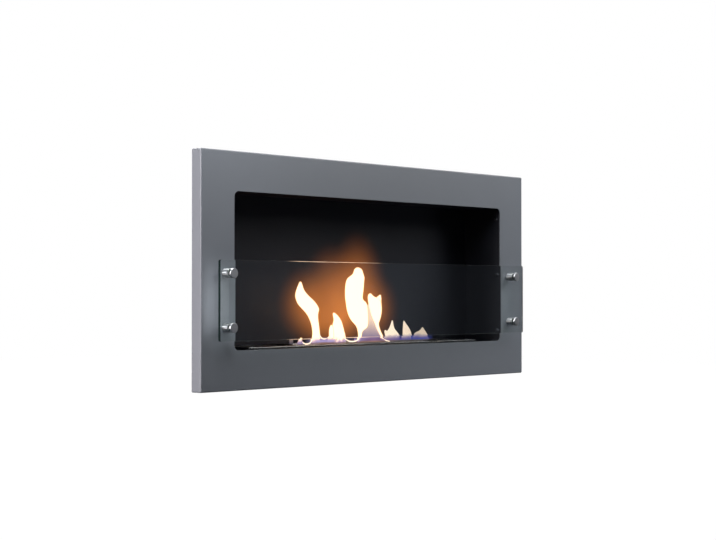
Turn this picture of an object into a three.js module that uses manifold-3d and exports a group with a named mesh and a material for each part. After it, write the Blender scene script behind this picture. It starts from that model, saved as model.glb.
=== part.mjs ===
// Wall-hung bioethanol fireplace, modelled as the sheet-metal assembly that it is.
//
// Millimetres, +Z up. +X is to the right, the front faces -Y and +Y runs into the wall.
// The origin lies on the wall plane, in the middle of the upper hanger strip.
// Inside the group, y is the depth behind the front face and z the height above the
// frame's lower edge, so each piece is placed as it would be dimensioned on a drawing.

import * as THREE from 'three';
import { mergeVertices } from 'three/addons/utils/BufferGeometryUtils.js';
import Module from 'manifold-3d';

const wasm = await Module();
wasm.setup();

// ---------------------------------------------------------------- driving dimensions

// Front frame: one folded sheet with a rectangular opening.
const FRAME_WIDTH = 900;
const FRAME_HEIGHT = 400;
const SIDE_BORDER = 76;
const TOP_BORDER = 67;
const BOTTOM_BORDER = 67;
const OPENING_RADIUS = 10;
const FRAME_EDGE_DEPTH = 22;
const FRAME_SHEET = 1.5;
const FRAME_BEND = 2.5;

// Black collar that lines the opening and carries the firebox.
const COLLAR_SHEET = 1.2;
const COLLAR_DEPTH = 16;
const COLLAR_FLANGE = 12;

// Firebox: five thin sheets riveted to the collar and to each other.
const TOTAL_DEPTH = 100;
const FIREBOX_SHEET = 1;
const FIREBOX_FLANGE = 12;
const FIREBOX_BEND = 1.5;

// Rivets through the collar and the firebox sides.
const RIVET_SHANK = 4;
const RIVET_HEAD = 8;
const RIVET_HEAD_HEIGHT = 1.6;
const RIVET_TAIL = 5.5;
const RIVET_TAIL_HEIGHT = 2;
const RIVET_BEHIND_COLLAR_FRONT = 8.2;
const RIVET_FROM_OPENING_END = 21;
const RIVETS_PER_SIDE = 3;

// Hat-section strips on the back; the upper one hangs on two wall screws.
const STRIP_DEPTH = 8;
const STRIP_SHEET = 1.5;
const STRIP_WEB = 30;
const STRIP_FLANGE = 12;
const STRIP_BEND = 1;
const STRIP_INSET_FROM_OPENING = 94;
const HANGER_BELOW_OPENING_TOP = 33;
const LOWER_STRIP_ABOVE_OPENING_BASE = 43;
const KEYHOLE_FROM_STRIP_END = 80;
const KEYHOLE_HEAD = 14;
const KEYHOLE_SLOT = 7;
const KEYHOLE_DROP = 11;

// Glass pane in front of the lower half of the opening.
const GLASS_HEIGHT = 134;
const GLASS_THICKNESS = 5;
const GLASS_CORNER = 3;
const GLASS_ARRIS = 0.5;
const GLASS_ABOVE_OPENING_BASE = 16.5;
const GLASS_DISTANCE = 14.5;
const GLASS_HOLE = 12;

// Glass fixings: barrel, cap, two gaskets, stud and nut at each corner of the pane.
const FIXING_BESIDE_OPENING = 24;
const FIXING_FROM_GLASS_END = 27;
const FIXING_FROM_GLASS_EDGE = 22;
const BARREL_DIAMETER = 16;
const BARREL_CHAMFER = 0.6;
const CAP_DIAMETER = 17;
const CAP_THICKNESS = 3.5;
const CAP_CHAMFER = 0.8;
const GASKET_DIAMETER = 15;
const GASKET_THICKNESS = 1;
const STUD_DIAMETER = 8;
const STUD_IN_BARREL = 6;
const CAP_STEM_IN_BARREL = 4.5;
const NUT_ACROSS_FLATS = 13;
const NUT_THICKNESS = 6.5;
const STUD_PAST_NUT = 2;

// Burner: a deck plate with a flame slot, welded over a fuel container.
const DECK_SHEET = 1.5;
const DECK_BEND = 2;
const DECK_TOP_ABOVE_OPENING = 4;
const DECK_FROM_OPENING_SIDE = 54;
const DECK_BEHIND_COLLAR = 2.2;
const DECK_REAR_GAP = 2.4;
const SLOT_FROM_DECK_END = 120;
const SLOT_FROM_DECK_FRONT = 13;
const CONTAINER_PAST_SLOT_END = 10;
const CONTAINER_INSIDE_DECK = 7;
const CONTAINER_HEIGHT = 44;
const CONTAINER_SHEET = 1;
const CONTAINER_BEND = 3;
const CONTAINER_RIM_GAP = 0.5;
const WOOL_BELOW_DECK = 5;
const WOOL_CLEARANCE = 0.5;

// Shutter that slides forward over the flame slot, and its two guides.
const SHUTTER_SHEET = 1.2;
const SHUTTER_OVERLAP_AT_ENDS = 10;
const SHUTTER_OVERLAP_IN_FRONT = 1.5;
const SHUTTER_OVERLAP_BEHIND = 3.5;
const SHUTTER_BEHIND_SLOT = 2;
const TAB_WIDTH = 10;
const TAB_HEIGHT = 9;
const TAB_RADIUS = 2.5;
const TAB_FROM_SLOT_END = 22;
const GUIDE_SHEET = 1;
const GUIDE_FOOT = 10;
const GUIDE_GRIP = 8;
const GUIDE_END_PLAY = 1;
const GUIDE_FROM_DECK_REAR = 2;

// Well under the firebox floor that the container hangs in.
const WELL_SHEET = 1;
const WELL_BEND = 3;
const WELL_FLANGE = 9;
const WELL_BOTTOM_CLEARANCE = 3;

// Clearances and facet counts.
const SEAT_GAP = 0.3;
const FLOOR_CUTOUT_CLEARANCE = 2.5;
const WELL_CLEARANCE = 1;
const CORNER_STEPS = 5;
const BEND_STEPS = 3;
const FIXING_FACETS = 24;
const SMALL_FACETS = 16;

// ---------------------------------------------------------------- derived places

const openingWidth = FRAME_WIDTH - 2 * SIDE_BORDER;
const openingHeight = FRAME_HEIGHT - TOP_BORDER - BOTTOM_BORDER;
const openingTopZ = BOTTOM_BORDER + openingHeight;
const openingCentreZ = BOTTOM_BORDER + openingHeight / 2;

const collarFront = FRAME_SHEET + SEAT_GAP;
const collarOverlap = COLLAR_SHEET + SEAT_GAP;

const fireboxFront = collarFront + COLLAR_SHEET + SEAT_GAP;
const backRearY = TOTAL_DEPTH - STRIP_DEPTH - SEAT_GAP;
const backFrontY = backRearY - FIREBOX_SHEET;
const fireboxRear = backFrontY - SEAT_GAP;
const fireboxDepth = fireboxRear - fireboxFront;
const fireboxHalfWidth = openingWidth / 2 + collarOverlap;
const floorTopZ = BOTTOM_BORDER - collarOverlap;
const ceilingZ = openingTopZ + collarOverlap;
const fireboxLowZ = floorTopZ - FIREBOX_FLANGE;
const fireboxHighZ = ceilingZ + FIREBOX_FLANGE;

const stripLength = openingWidth - 2 * STRIP_INSET_FROM_OPENING;
const keyholeX = stripLength / 2 - KEYHOLE_FROM_STRIP_END;
const hangerZ = openingTopZ - HANGER_BELOW_OPENING_TOP;
const lowerStripZ = BOTTOM_BORDER + LOWER_STRIP_ABOVE_OPENING_BASE;

const fixingX = openingWidth / 2 + FIXING_BESIDE_OPENING;
const fixingZ = GLASS_HEIGHT / 2 - FIXING_FROM_GLASS_EDGE;
const glassWidth = 2 * (fixingX + FIXING_FROM_GLASS_END);
const glassRearY = -GLASS_DISTANCE;
const glassFrontY = glassRearY - GLASS_THICKNESS;
const glassCentreZ = BOTTOM_BORDER + GLASS_ABOVE_OPENING_BASE + GLASS_HEIGHT / 2;
const studBore = STUD_DIAMETER + 2 * SEAT_GAP;

const deckTopZ = BOTTOM_BORDER + DECK_TOP_ABOVE_OPENING;
const deckLowZ = floorTopZ + SEAT_GAP;
const deckFrontY = collarFront + COLLAR_DEPTH + DECK_BEHIND_COLLAR;
const deckWidth = fireboxRear - DECK_REAR_GAP - deckFrontY;
const deckLength = openingWidth - 2 * DECK_FROM_OPENING_SIDE;
const deckCentreY = deckFrontY + deckWidth / 2;

// The slot and the shutter that lies open behind it share the deck's width.
const shutterOverlap = SHUTTER_OVERLAP_IN_FRONT + SHUTTER_OVERLAP_BEHIND;
const guideEnd = GUIDE_END_PLAY + GUIDE_SHEET;
const slotWidth = (deckWidth - SLOT_FROM_DECK_FRONT - SHUTTER_BEHIND_SLOT
  - shutterOverlap - guideEnd - GUIDE_FROM_DECK_REAR) / 2;
const slotLength = deckLength - 2 * SLOT_FROM_DECK_END;
const slotFrontY = deckFrontY + SLOT_FROM_DECK_FRONT;
const slotRearY = slotFrontY + slotWidth;

const containerLength = slotLength + 2 * CONTAINER_PAST_SLOT_END;
const containerWidth = deckWidth - 2 * CONTAINER_INSIDE_DECK;
const containerRim = CONTAINER_INSIDE_DECK - DECK_SHEET - CONTAINER_RIM_GAP;
const containerTopZ = deckTopZ - DECK_SHEET - SEAT_GAP;
const containerLowZ = containerTopZ - CONTAINER_HEIGHT;

const shutterLength = slotLength + 2 * SHUTTER_OVERLAP_AT_ENDS;
const shutterWidth = slotWidth + shutterOverlap;
const shutterFrontY = slotRearY + SHUTTER_BEHIND_SLOT;
const shutterTravel = shutterFrontY - slotFrontY + SHUTTER_OVERLAP_IN_FRONT;
const shutterLowZ = deckTopZ + SEAT_GAP;
const shutterTopZ = shutterLowZ + SHUTTER_SHEET;

// ---------------------------------------------------------------- shape helpers

// Points of a rectangle with round corners, centred on (0, 0), counter-clockwise.
function roundedOutline(width, height, radius = 0, steps = CORNER_STEPS) {
  const corners = [[1, -1], [1, 1], [-1, 1], [-1, -1]];
  const points = [];
  corners.forEach(([signX, signY], quarter) => {
    const centre = [signX * (width / 2 - radius), signY * (height / 2 - radius)];
    const count = radius > 0 ? steps : 0;
    for (let i = 0; i <= count; i += 1) {
      const angle = (quarter - 1 + (count ? i / count : 0)) * Math.PI / 2;
      const point = new THREE.Vector2(
        centre[0] + radius * Math.cos(angle),
        centre[1] + radius * Math.sin(angle),
      );
      const previous = points[points.length - 1];
      if (!previous || previous.distanceTo(point) > 1e-6) {
        points.push(point);
      }
    }
  });
  if (points[0].distanceTo(points[points.length - 1]) < 1e-6) {
    points.pop();
  }
  return points;
}

function circleOutline(diameter, x, y, facets = SMALL_FACETS) {
  const points = [];
  for (let i = 0; i < facets; i += 1) {
    const angle = (i + 0.5) * 2 * Math.PI / facets;
    points.push(new THREE.Vector2(
      x + diameter / 2 * Math.cos(angle),
      y + diameter / 2 * Math.sin(angle),
    ));
  }
  return points;
}

function shapeOf(outline, holes = []) {
  const shape = new THREE.Shape(outline);
  shape.holes = holes.map((points) => new THREE.Path(points));
  return shape;
}

function extrude(shape, depth) {
  return new THREE.ExtrudeGeometry(shape, { depth, bevelEnabled: false });
}

// A closed three.js geometry as a solid that can be joined and cut.
function solid(geometry) {
  const bare = new THREE.BufferGeometry();
  bare.setAttribute('position', geometry.getAttribute('position'));
  if (geometry.index) {
    bare.setIndex(geometry.index);
  }
  const merged = mergeVertices(bare, 1e-4);
  const index = merged.index.array;
  const kept = [];
  for (let i = 0; i < index.length; i += 3) {
    const [a, b, c] = [index[i], index[i + 1], index[i + 2]];
    if (a !== b && b !== c && c !== a) {
      kept.push(a, b, c);
    }
  }
  return new wasm.Manifold(new wasm.Mesh({
    numProp: 3,
    vertProperties: new Float32Array(merged.getAttribute('position').array),
    triVerts: new Uint32Array(kept),
  }));
}

// A box given by its low and high corner.
function block(low, high) {
  const size = high.map((value, axis) => value - low[axis]);
  const geometry = new THREE.BoxGeometry(...size);
  geometry.translate(...high.map((value, axis) => (value + low[axis]) / 2));
  return solid(geometry);
}

// A flat sheet that stands upright, from depth y to y + thickness.
function uprightSheet(shape, y, thickness) {
  const geometry = extrude(shape, thickness);
  geometry.rotateX(Math.PI / 2);
  geometry.translate(0, y + thickness, 0);
  return solid(geometry);
}

// A flat sheet that lies level, from height z to z + thickness.
function levelSheet(shape, z, thickness) {
  const geometry = extrude(shape, thickness);
  geometry.translate(0, 0, z);
  return solid(geometry);
}

// A block with round lower and upper edges, centred on x and y, from z = 0 upwards.
function roundEdgedBlock(width, length, height, radius) {
  const outline = roundedOutline(width - 2 * radius, length - 2 * radius);
  const geometry = new THREE.ExtrudeGeometry(new THREE.Shape(outline), {
    depth: height - 2 * radius,
    bevelThickness: radius,
    bevelSize: radius,
    bevelSegments: BEND_STEPS,
  });
  geometry.translate(0, 0, radius);
  return solid(geometry);
}

// A folded tray, open upwards: a flat base at z = 0 with its rim turned up to z = depth.
function tray(width, length, depth, sheet, bend) {
  const outer = roundEdgedBlock(width, length, depth + 2 * bend, bend);
  const innerBend = bend - sheet > 0.2 ? bend - sheet : 0;
  const innerSize = [width - 2 * sheet, length - 2 * sheet];
  const inner = innerBend
    ? roundEdgedBlock(...innerSize, depth + 2 * bend, innerBend).translate([0, 0, sheet])
    : block(
      [-innerSize[0] / 2, -innerSize[1] / 2, sheet],
      [innerSize[0] / 2, innerSize[1] / 2, depth + 3 * bend],
    );
  const above = block([-width, -length, depth], [width, length, depth + 4 * bend]);
  return outer.subtract(inner).subtract(above);
}

// The section of a bent sheet: a line through the given corners on one face of the
// sheet, its bends rounded, and the same line one sheet thickness to its left.
function bentSection(corners, sheet, bend = 0) {
  const line = [];
  corners.forEach((corner, i) => {
    const point = new THREE.Vector2(...corner);
    if (i === 0 || i === corners.length - 1 || bend === 0) {
      line.push(point);
      return;
    }
    const before = new THREE.Vector2(...corners[i - 1]).sub(point).normalize();
    const after = new THREE.Vector2(...corners[i + 1]).sub(point).normalize();
    const half = Math.acos(THREE.MathUtils.clamp(before.dot(after), -1, 1)) / 2;
    const turnsLeft = before.cross(after) < 0;
    const radius = turnsLeft ? bend + sheet : bend;
    const reach = radius / Math.tan(half);
    const start = point.clone().addScaledVector(before, reach);
    const end = point.clone().addScaledVector(after, reach);
    const middle = before.clone().add(after).normalize();
    const centre = point.clone().addScaledVector(middle, radius / Math.sin(half));
    const from = start.clone().sub(centre).angle();
    let sweep = end.clone().sub(centre).angle() - from;
    sweep = Math.atan2(Math.sin(sweep), Math.cos(sweep));
    for (let step = 0; step <= BEND_STEPS; step += 1) {
      const angle = from + sweep * step / BEND_STEPS;
      line.push(new THREE.Vector2(
        centre.x + radius * Math.cos(angle),
        centre.y + radius * Math.sin(angle),
      ));
    }
  });
  const offset = line.map((point, i) => {
    const into = point.clone().sub(line[Math.max(i - 1, 0)]);
    const out = line[Math.min(i + 1, line.length - 1)].clone().sub(point);
    const first = (i === 0 ? out : into).clone().normalize();
    const second = (i === line.length - 1 ? into : out).clone().normalize();
    const along = first.clone().add(second).normalize();
    const stretch = sheet / along.dot(first);
    return point.clone().add(new THREE.Vector2(-along.y, along.x).multiplyScalar(stretch));
  });
  return new THREE.Shape([...line, ...offset.reverse()]);
}

// A turned piece about the Y axis: its profile is a list of [radius, y].
function turned(profile, facets = FIXING_FACETS) {
  const points = profile.map(([radius, y]) => new THREE.Vector2(radius, y));
  return solid(new THREE.LatheGeometry(points, facets));
}

// A turned ring about the Y axis, from y0 to y1, with its outer edges chamfered.
function turnedRing(bore, diameter, y0, y1, chamfer = 0) {
  const [inner, outer] = [bore / 2, diameter / 2];
  const profile = [[inner, y1], [inner, y0]];
  if (chamfer > 0) {
    profile.push([outer - chamfer, y0], [outer, y0 + chamfer]);
    profile.push([outer, y1 - chamfer], [outer - chamfer, y1]);
  } else {
    profile.push([outer, y0], [outer, y1]);
  }
  profile.push([inner, y1]);
  return turned(profile);
}

// ---------------------------------------------------------------- materials

function finish(color, roughness, metalness, extra = {}) {
  return new THREE.MeshStandardMaterial({ color, roughness, metalness, ...extra });
}

const greyPaint = finish('#737b82', 0.45, 0.1);
const blackPaint = finish('#15161a', 0.6, 0.1);
const stainless = finish('#b9bcc0', 0.3, 0.9);
const galvanised = finish('#9a9fa3', 0.45, 0.8);
const clearGlass = finish('#dfeae6', 0.05, 0, { transparent: true, opacity: 0.3 });
const clearRubber = finish('#c9cccc', 0.5, 0);
const ceramicWool = finish('#ece9e0', 0.95, 0);

const fireplace = new THREE.Group();

function add(name, shape, material) {
  const { vertProperties, triVerts } = shape.getMesh();
  const geometry = new THREE.BufferGeometry();
  geometry.setAttribute('position', new THREE.BufferAttribute(vertProperties, 3));
  geometry.setIndex(new THREE.BufferAttribute(triVerts, 1));
  geometry.computeVertexNormals();
  const mesh = new THREE.Mesh(geometry, material);
  mesh.name = name;
  fireplace.add(mesh);
  return mesh;
}

const sides = [['left', -1], ['right', 1]];
const levels = [['lower', -1], ['upper', 1]];

// ---------------------------------------------------------------- front frame

function openingOutline(margin = 0) {
  const outline = roundedOutline(
    openingWidth + 2 * margin,
    openingHeight + 2 * margin,
    OPENING_RADIUS + margin,
  );
  return outline.map((point) => point.add(new THREE.Vector2(0, openingCentreZ)));
}

function fixingPlaces() {
  return sides.flatMap(([side, signX]) => levels.map(([level, signZ]) => ({
    name: `${level}_${side}`,
    x: signX * fixingX,
    z: glassCentreZ + signZ * fixingZ,
  })));
}

function fixingHoles(diameter) {
  return fixingPlaces().map(({ x, z }) => circleOutline(diameter, x, z));
}

function frontFrame() {
  const pan = tray(FRAME_WIDTH, FRAME_HEIGHT, FRAME_EDGE_DEPTH, FRAME_SHEET, FRAME_BEND)
    .rotate([-90, 0, 0])
    .translate([0, 0, FRAME_HEIGHT / 2]);
  const cuts = [openingOutline(), ...fixingHoles(studBore)].map(
    (outline) => uprightSheet(new THREE.Shape(outline), -1, FRAME_SHEET + 2),
  );
  return cuts.reduce((left, cut) => left.subtract(cut), pan);
}

add('front_frame', frontFrame(), greyPaint);

// ---------------------------------------------------------------- collar and rivets

function rivetPlaces() {
  const first = BOTTOM_BORDER + RIVET_FROM_OPENING_END;
  const pitch = (openingHeight - 2 * RIVET_FROM_OPENING_END) / (RIVETS_PER_SIDE - 1);
  return Array.from({ length: RIVETS_PER_SIDE }, (_, i) => first + i * pitch);
}

const rivetY = collarFront + RIVET_BEHIND_COLLAR_FRONT;

// A rod across X at each rivet's place, for the holes in the collar and the sides.
function rivetHoles() {
  return rivetPlaces().map((z) => {
    const diameter = RIVET_SHANK + 2 * SEAT_GAP;
    const rod = new THREE.CylinderGeometry(
      diameter / 2,
      diameter / 2,
      FRAME_WIDTH,
      SMALL_FACETS,
    );
    rod.rotateZ(Math.PI / 2);
    rod.translate(0, rivetY, z);
    return solid(rod);
  });
}

function withRivetHoles(piece) {
  return rivetHoles().reduce((left, hole) => left.subtract(hole), piece);
}

function openingCollar() {
  const flange = uprightSheet(
    shapeOf(openingOutline(COLLAR_FLANGE), [openingOutline()]),
    collarFront,
    COLLAR_SHEET,
  );
  const lining = uprightSheet(
    shapeOf(openingOutline(COLLAR_SHEET), [openingOutline()]),
    collarFront,
    COLLAR_DEPTH,
  );
  return withRivetHoles(flange.add(lining));
}

// A blind rivet: its domed head lies inside the firebox, its tail outside.
function rivet(signX, z) {
  const headX = openingWidth / 2 - SEAT_GAP;
  const tailX = fireboxHalfWidth + FIREBOX_SHEET + SEAT_GAP;
  const profile = [
    [0, headX - RIVET_HEAD_HEIGHT],
    [RIVET_HEAD * 0.28, headX - RIVET_HEAD_HEIGHT * 0.85],
    [RIVET_HEAD * 0.42, headX - RIVET_HEAD_HEIGHT * 0.5],
    [RIVET_HEAD / 2, headX],
    [RIVET_SHANK / 2, headX],
    [RIVET_SHANK / 2, tailX],
    [RIVET_TAIL / 2, tailX],
    [RIVET_TAIL / 2, tailX + RIVET_TAIL_HEIGHT / 2],
    [RIVET_TAIL / 4, tailX + RIVET_TAIL_HEIGHT],
    [0, tailX + RIVET_TAIL_HEIGHT],
  ];
  return turned(profile, SMALL_FACETS)
    .rotate([0, 0, signX > 0 ? -90 : 90])
    .translate([0, rivetY, z]);
}

add('opening_collar', openingCollar(), blackPaint);
sides.forEach(([side, signX]) => {
  rivetPlaces().forEach((z, i) => {
    add(`side_rivet_${side}_${i + 1}`, rivet(signX, z), blackPaint);
  });
});

// ---------------------------------------------------------------- firebox

function fireboxSide(signX) {
  const x = [fireboxHalfWidth, fireboxHalfWidth + FIREBOX_SHEET];
  const low = signX > 0 ? x[0] : -x[1];
  const sheet = block(
    [low, fireboxFront, fireboxLowZ],
    [low + FIREBOX_SHEET, fireboxRear, fireboxHighZ],
  );
  return withRivetHoles(sheet);
}

// A plate with side and rear flanges turned up, its front edge left plain.
function flangedPlate() {
  const width = 2 * (fireboxHalfWidth - SEAT_GAP);
  const full = tray(
    width,
    fireboxDepth + FIREBOX_FLANGE,
    FIREBOX_FLANGE,
    FIREBOX_SHEET,
    FIREBOX_BEND,
  ).translate([0, fireboxRear - (fireboxDepth + FIREBOX_FLANGE) / 2, 0]);
  const front = block(
    [-width, fireboxFront - 2 * FIREBOX_FLANGE, -1],
    [width, fireboxFront, 2 * FIREBOX_FLANGE],
  );
  return full.subtract(front);
}

function fireboxFloor() {
  const cutout = levelSheet(
    new THREE.Shape(roundedOutline(
      containerLength + 2 * FLOOR_CUTOUT_CLEARANCE,
      containerWidth + 2 * FLOOR_CUTOUT_CLEARANCE,
      CONTAINER_BEND,
    )),
    floorTopZ - FIREBOX_FLANGE,
    2 * FIREBOX_FLANGE,
  ).translate([0, deckCentreY, 0]);
  return flangedPlate()
    .mirror([0, 0, 1])
    .translate([0, 0, floorTopZ])
    .subtract(cutout);
}

// The back sheet, with its left and right edges folded forward round the sides.
function fireboxBack() {
  const width = 2 * (fireboxHalfWidth + FIREBOX_SHEET + SEAT_GAP + FIREBOX_SHEET);
  const height = fireboxHighZ - fireboxLowZ;
  const full = tray(
    width,
    height + 2 * FIREBOX_FLANGE,
    FIREBOX_FLANGE,
    FIREBOX_SHEET,
    FIREBOX_BEND,
  )
    .rotate([90, 0, 0])
    .translate([0, backRearY, (fireboxLowZ + fireboxHighZ) / 2]);
  const ends = levels.map(([, sign]) => {
    const edge = sign > 0 ? fireboxHighZ : fireboxLowZ - 2 * FIREBOX_FLANGE;
    return block([-width, 0, edge], [width, TOTAL_DEPTH, edge + 2 * FIREBOX_FLANGE]);
  });
  return ends.reduce((left, end) => left.subtract(end), full);
}

sides.forEach(([side, signX]) => {
  add(`firebox_${side}_side`, fireboxSide(signX), blackPaint);
});
add('firebox_top', flangedPlate().translate([0, 0, ceilingZ]), blackPaint);
add('firebox_floor', fireboxFloor(), blackPaint);
add('firebox_back', fireboxBack(), blackPaint);

// ---------------------------------------------------------------- rear strips

function hatStrip(height) {
  const [web, foot] = [STRIP_WEB / 2, STRIP_WEB / 2 + STRIP_FLANGE];
  const section = bentSection([
    [TOTAL_DEPTH - STRIP_DEPTH, foot],
    [TOTAL_DEPTH - STRIP_DEPTH, web],
    [TOTAL_DEPTH - STRIP_SHEET, web],
    [TOTAL_DEPTH - STRIP_SHEET, -web],
    [TOTAL_DEPTH - STRIP_DEPTH, -web],
    [TOTAL_DEPTH - STRIP_DEPTH, -foot],
  ], STRIP_SHEET, STRIP_BEND);
  const geometry = extrude(section, stripLength);
  geometry.rotateY(Math.PI / 2);
  geometry.rotateX(Math.PI / 2);
  geometry.translate(-stripLength / 2, 0, height);
  return solid(geometry);
}

// A round hole for the screw head with a narrow slot above it for the shank.
function keyhole(x) {
  const head = uprightSheet(
    new THREE.Shape(circleOutline(KEYHOLE_HEAD, x, hangerZ - KEYHOLE_DROP / 2)),
    TOTAL_DEPTH - 2 * STRIP_SHEET,
    3 * STRIP_SHEET,
  );
  const slot = uprightSheet(
    new THREE.Shape(roundedOutline(KEYHOLE_SLOT, KEYHOLE_DROP + KEYHOLE_SLOT, KEYHOLE_SLOT / 2)),
    TOTAL_DEPTH - 2 * STRIP_SHEET,
    3 * STRIP_SHEET,
  ).translate([x, 0, hangerZ]);
  return head.add(slot);
}

function hangerStrip() {
  return sides.reduce(
    (strip, [, signX]) => strip.subtract(keyhole(signX * keyholeX)),
    hatStrip(hangerZ),
  );
}

add('upper_hanger_strip', hangerStrip(), galvanised);
add('lower_spacer_strip', hatStrip(lowerStripZ), galvanised);

// ---------------------------------------------------------------- glass and fixings

function glassPane() {
  const outline = roundedOutline(glassWidth, GLASS_HEIGHT, GLASS_CORNER)
    .map((point) => point.add(new THREE.Vector2(0, glassCentreZ)));
  const geometry = new THREE.ExtrudeGeometry(shapeOf(outline, fixingHoles(GLASS_HOLE)), {
    depth: GLASS_THICKNESS - 2 * GLASS_ARRIS,
    bevelThickness: GLASS_ARRIS,
    bevelSize: GLASS_ARRIS,
    bevelOffset: -GLASS_ARRIS,
    bevelSegments: 1,
  });
  geometry.rotateX(Math.PI / 2);
  geometry.translate(0, glassRearY - GLASS_ARRIS, 0);
  return solid(geometry);
}

const barrelRear = -SEAT_GAP;
const rearGasketRear = glassRearY + SEAT_GAP + GASKET_THICKNESS;
const barrelFront = rearGasketRear + SEAT_GAP;
const frontGasketRear = glassFrontY - SEAT_GAP;
const capRear = frontGasketRear - GASKET_THICKNESS - SEAT_GAP;

function barrel() {
  return turnedRing(studBore, BARREL_DIAMETER, barrelFront, barrelRear, BARREL_CHAMFER);
}

function gasket(rear) {
  return turnedRing(studBore, GASKET_DIAMETER, rear - GASKET_THICKNESS, rear);
}

// The cap's face with its threaded stem, which passes the glass into the barrel.
function cap() {
  const [edge, stem] = [CAP_DIAMETER / 2, STUD_DIAMETER / 2];
  return turned([
    [0, capRear - CAP_THICKNESS],
    [edge - CAP_CHAMFER, capRear - CAP_THICKNESS],
    [edge, capRear - CAP_THICKNESS + CAP_CHAMFER],
    [edge, capRear],
    [stem, capRear],
    [stem, barrelFront + CAP_STEM_IN_BARREL],
    [0, barrelFront + CAP_STEM_IN_BARREL],
  ]);
}

function stud() {
  const radius = STUD_DIAMETER / 2;
  const tip = CAP_CHAMFER;
  const front = barrelRear - STUD_IN_BARREL;
  const rear = collarFront + NUT_THICKNESS + STUD_PAST_NUT;
  return turned([
    [0, front],
    [radius - tip, front],
    [radius, front + tip],
    [radius, rear - tip],
    [radius - tip, rear],
    [0, rear],
  ], SMALL_FACETS);
}

function nut() {
  const hexagon = circleOutline(NUT_ACROSS_FLATS / Math.cos(Math.PI / 6), 0, 0, 6);
  const shape = shapeOf(hexagon, [circleOutline(studBore, 0, 0)]);
  return uprightSheet(shape, collarFront, NUT_THICKNESS);
}

add('glass_pane', glassPane(), clearGlass);
fixingPlaces().forEach(({ name, x, z }) => {
  const place = [x, 0, z];
  add(`standoff_barrel_${name}`, barrel().translate(place), stainless);
  add(`rear_gasket_${name}`, gasket(rearGasketRear).translate(place), clearRubber);
  add(`front_gasket_${name}`, gasket(frontGasketRear).translate(place), clearRubber);
  add(`standoff_cap_${name}`, cap().translate(place), stainless);
  add(`standoff_stud_${name}`, stud().translate(place), stainless);
  add(`standoff_nut_${name}`, nut().translate(place), stainless);
});

// ---------------------------------------------------------------- burner

function burnerDeck() {
  const height = deckTopZ - deckLowZ;
  const slot = levelSheet(
    new THREE.Shape(roundedOutline(slotLength, slotWidth, slotWidth / 2, SMALL_FACETS / 4)),
    deckTopZ - 2 * DECK_SHEET,
    4 * DECK_SHEET,
  ).translate([0, (slotFrontY + slotRearY) / 2, 0]);
  return tray(deckLength, deckWidth, height, DECK_SHEET, DECK_BEND)
    .mirror([0, 0, 1])
    .translate([0, deckCentreY, deckTopZ])
    .subtract(slot);
}

function fuelContainer() {
  const body = tray(
    containerLength,
    containerWidth,
    CONTAINER_HEIGHT,
    CONTAINER_SHEET,
    CONTAINER_BEND,
  ).translate([0, 0, containerLowZ]);
  const inside = roundedOutline(
    containerLength - 2 * CONTAINER_SHEET,
    containerWidth - 2 * CONTAINER_SHEET,
  );
  const rim = levelSheet(
    shapeOf(
      roundedOutline(
        containerLength + 2 * containerRim,
        containerWidth + 2 * containerRim,
      ),
      [inside],
    ),
    containerTopZ - CONTAINER_SHEET,
    CONTAINER_SHEET,
  );
  return body.add(rim).translate([0, deckCentreY, 0]);
}

function woolCore() {
  const margin = CONTAINER_SHEET + WOOL_CLEARANCE;
  const height = deckTopZ - DECK_SHEET - WOOL_BELOW_DECK
    - (containerLowZ + CONTAINER_SHEET + SEAT_GAP);
  return roundEdgedBlock(
    containerLength - 2 * margin,
    containerWidth - 2 * margin,
    height,
    CONTAINER_BEND,
  ).translate([0, deckCentreY, containerLowZ + CONTAINER_SHEET + SEAT_GAP]);
}

// A guide over one end of the shutter: a foot on the deck, a riser and a lip, with a
// stop at its front and rear end.
function guide(signX) {
  const riserX = shutterLength / 2 + SEAT_GAP + GUIDE_SHEET;
  const lipZ = shutterTopZ + SEAT_GAP;
  const section = bentSection([
    [riserX + GUIDE_FOOT, shutterLowZ + GUIDE_SHEET],
    [riserX, shutterLowZ + GUIDE_SHEET],
    [riserX, lipZ + GUIDE_SHEET],
    [shutterLength / 2 - GUIDE_GRIP, lipZ + GUIDE_SHEET],
  ], GUIDE_SHEET);
  const front = shutterFrontY - shutterTravel - guideEnd;
  const rear = shutterFrontY + shutterWidth + guideEnd;
  const stops = [front, rear - GUIDE_SHEET].map((y) => block(
    [shutterLength / 2 - GUIDE_GRIP, y, shutterLowZ],
    [riserX, y + GUIDE_SHEET, lipZ + GUIDE_SHEET],
  ));
  const channel = uprightSheet(section, front, rear - front);
  const whole = stops.reduce((left, stop) => left.add(stop), channel);
  return signX > 0 ? whole : whole.mirror([1, 0, 0]);
}

// The shutter, a flat strip with a small tab turned up at its front edge to push it by.
function shutter() {
  const plate = block(
    [-shutterLength / 2, shutterFrontY, shutterLowZ],
    [shutterLength / 2, shutterFrontY + shutterWidth, shutterTopZ],
  );
  const outline = roundedOutline(TAB_WIDTH, 2 * TAB_HEIGHT, TAB_RADIUS)
    .map((point) => point.add(new THREE.Vector2(TAB_FROM_SLOT_END - slotLength / 2, shutterLowZ)));
  const tab = uprightSheet(new THREE.Shape(outline), shutterFrontY, SHUTTER_SHEET);
  const below = block(
    [-shutterLength, shutterFrontY - 1, shutterLowZ - 2 * TAB_HEIGHT],
    [shutterLength, shutterFrontY + shutterWidth, shutterLowZ],
  );
  return plate.add(tab.subtract(below));
}

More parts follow.
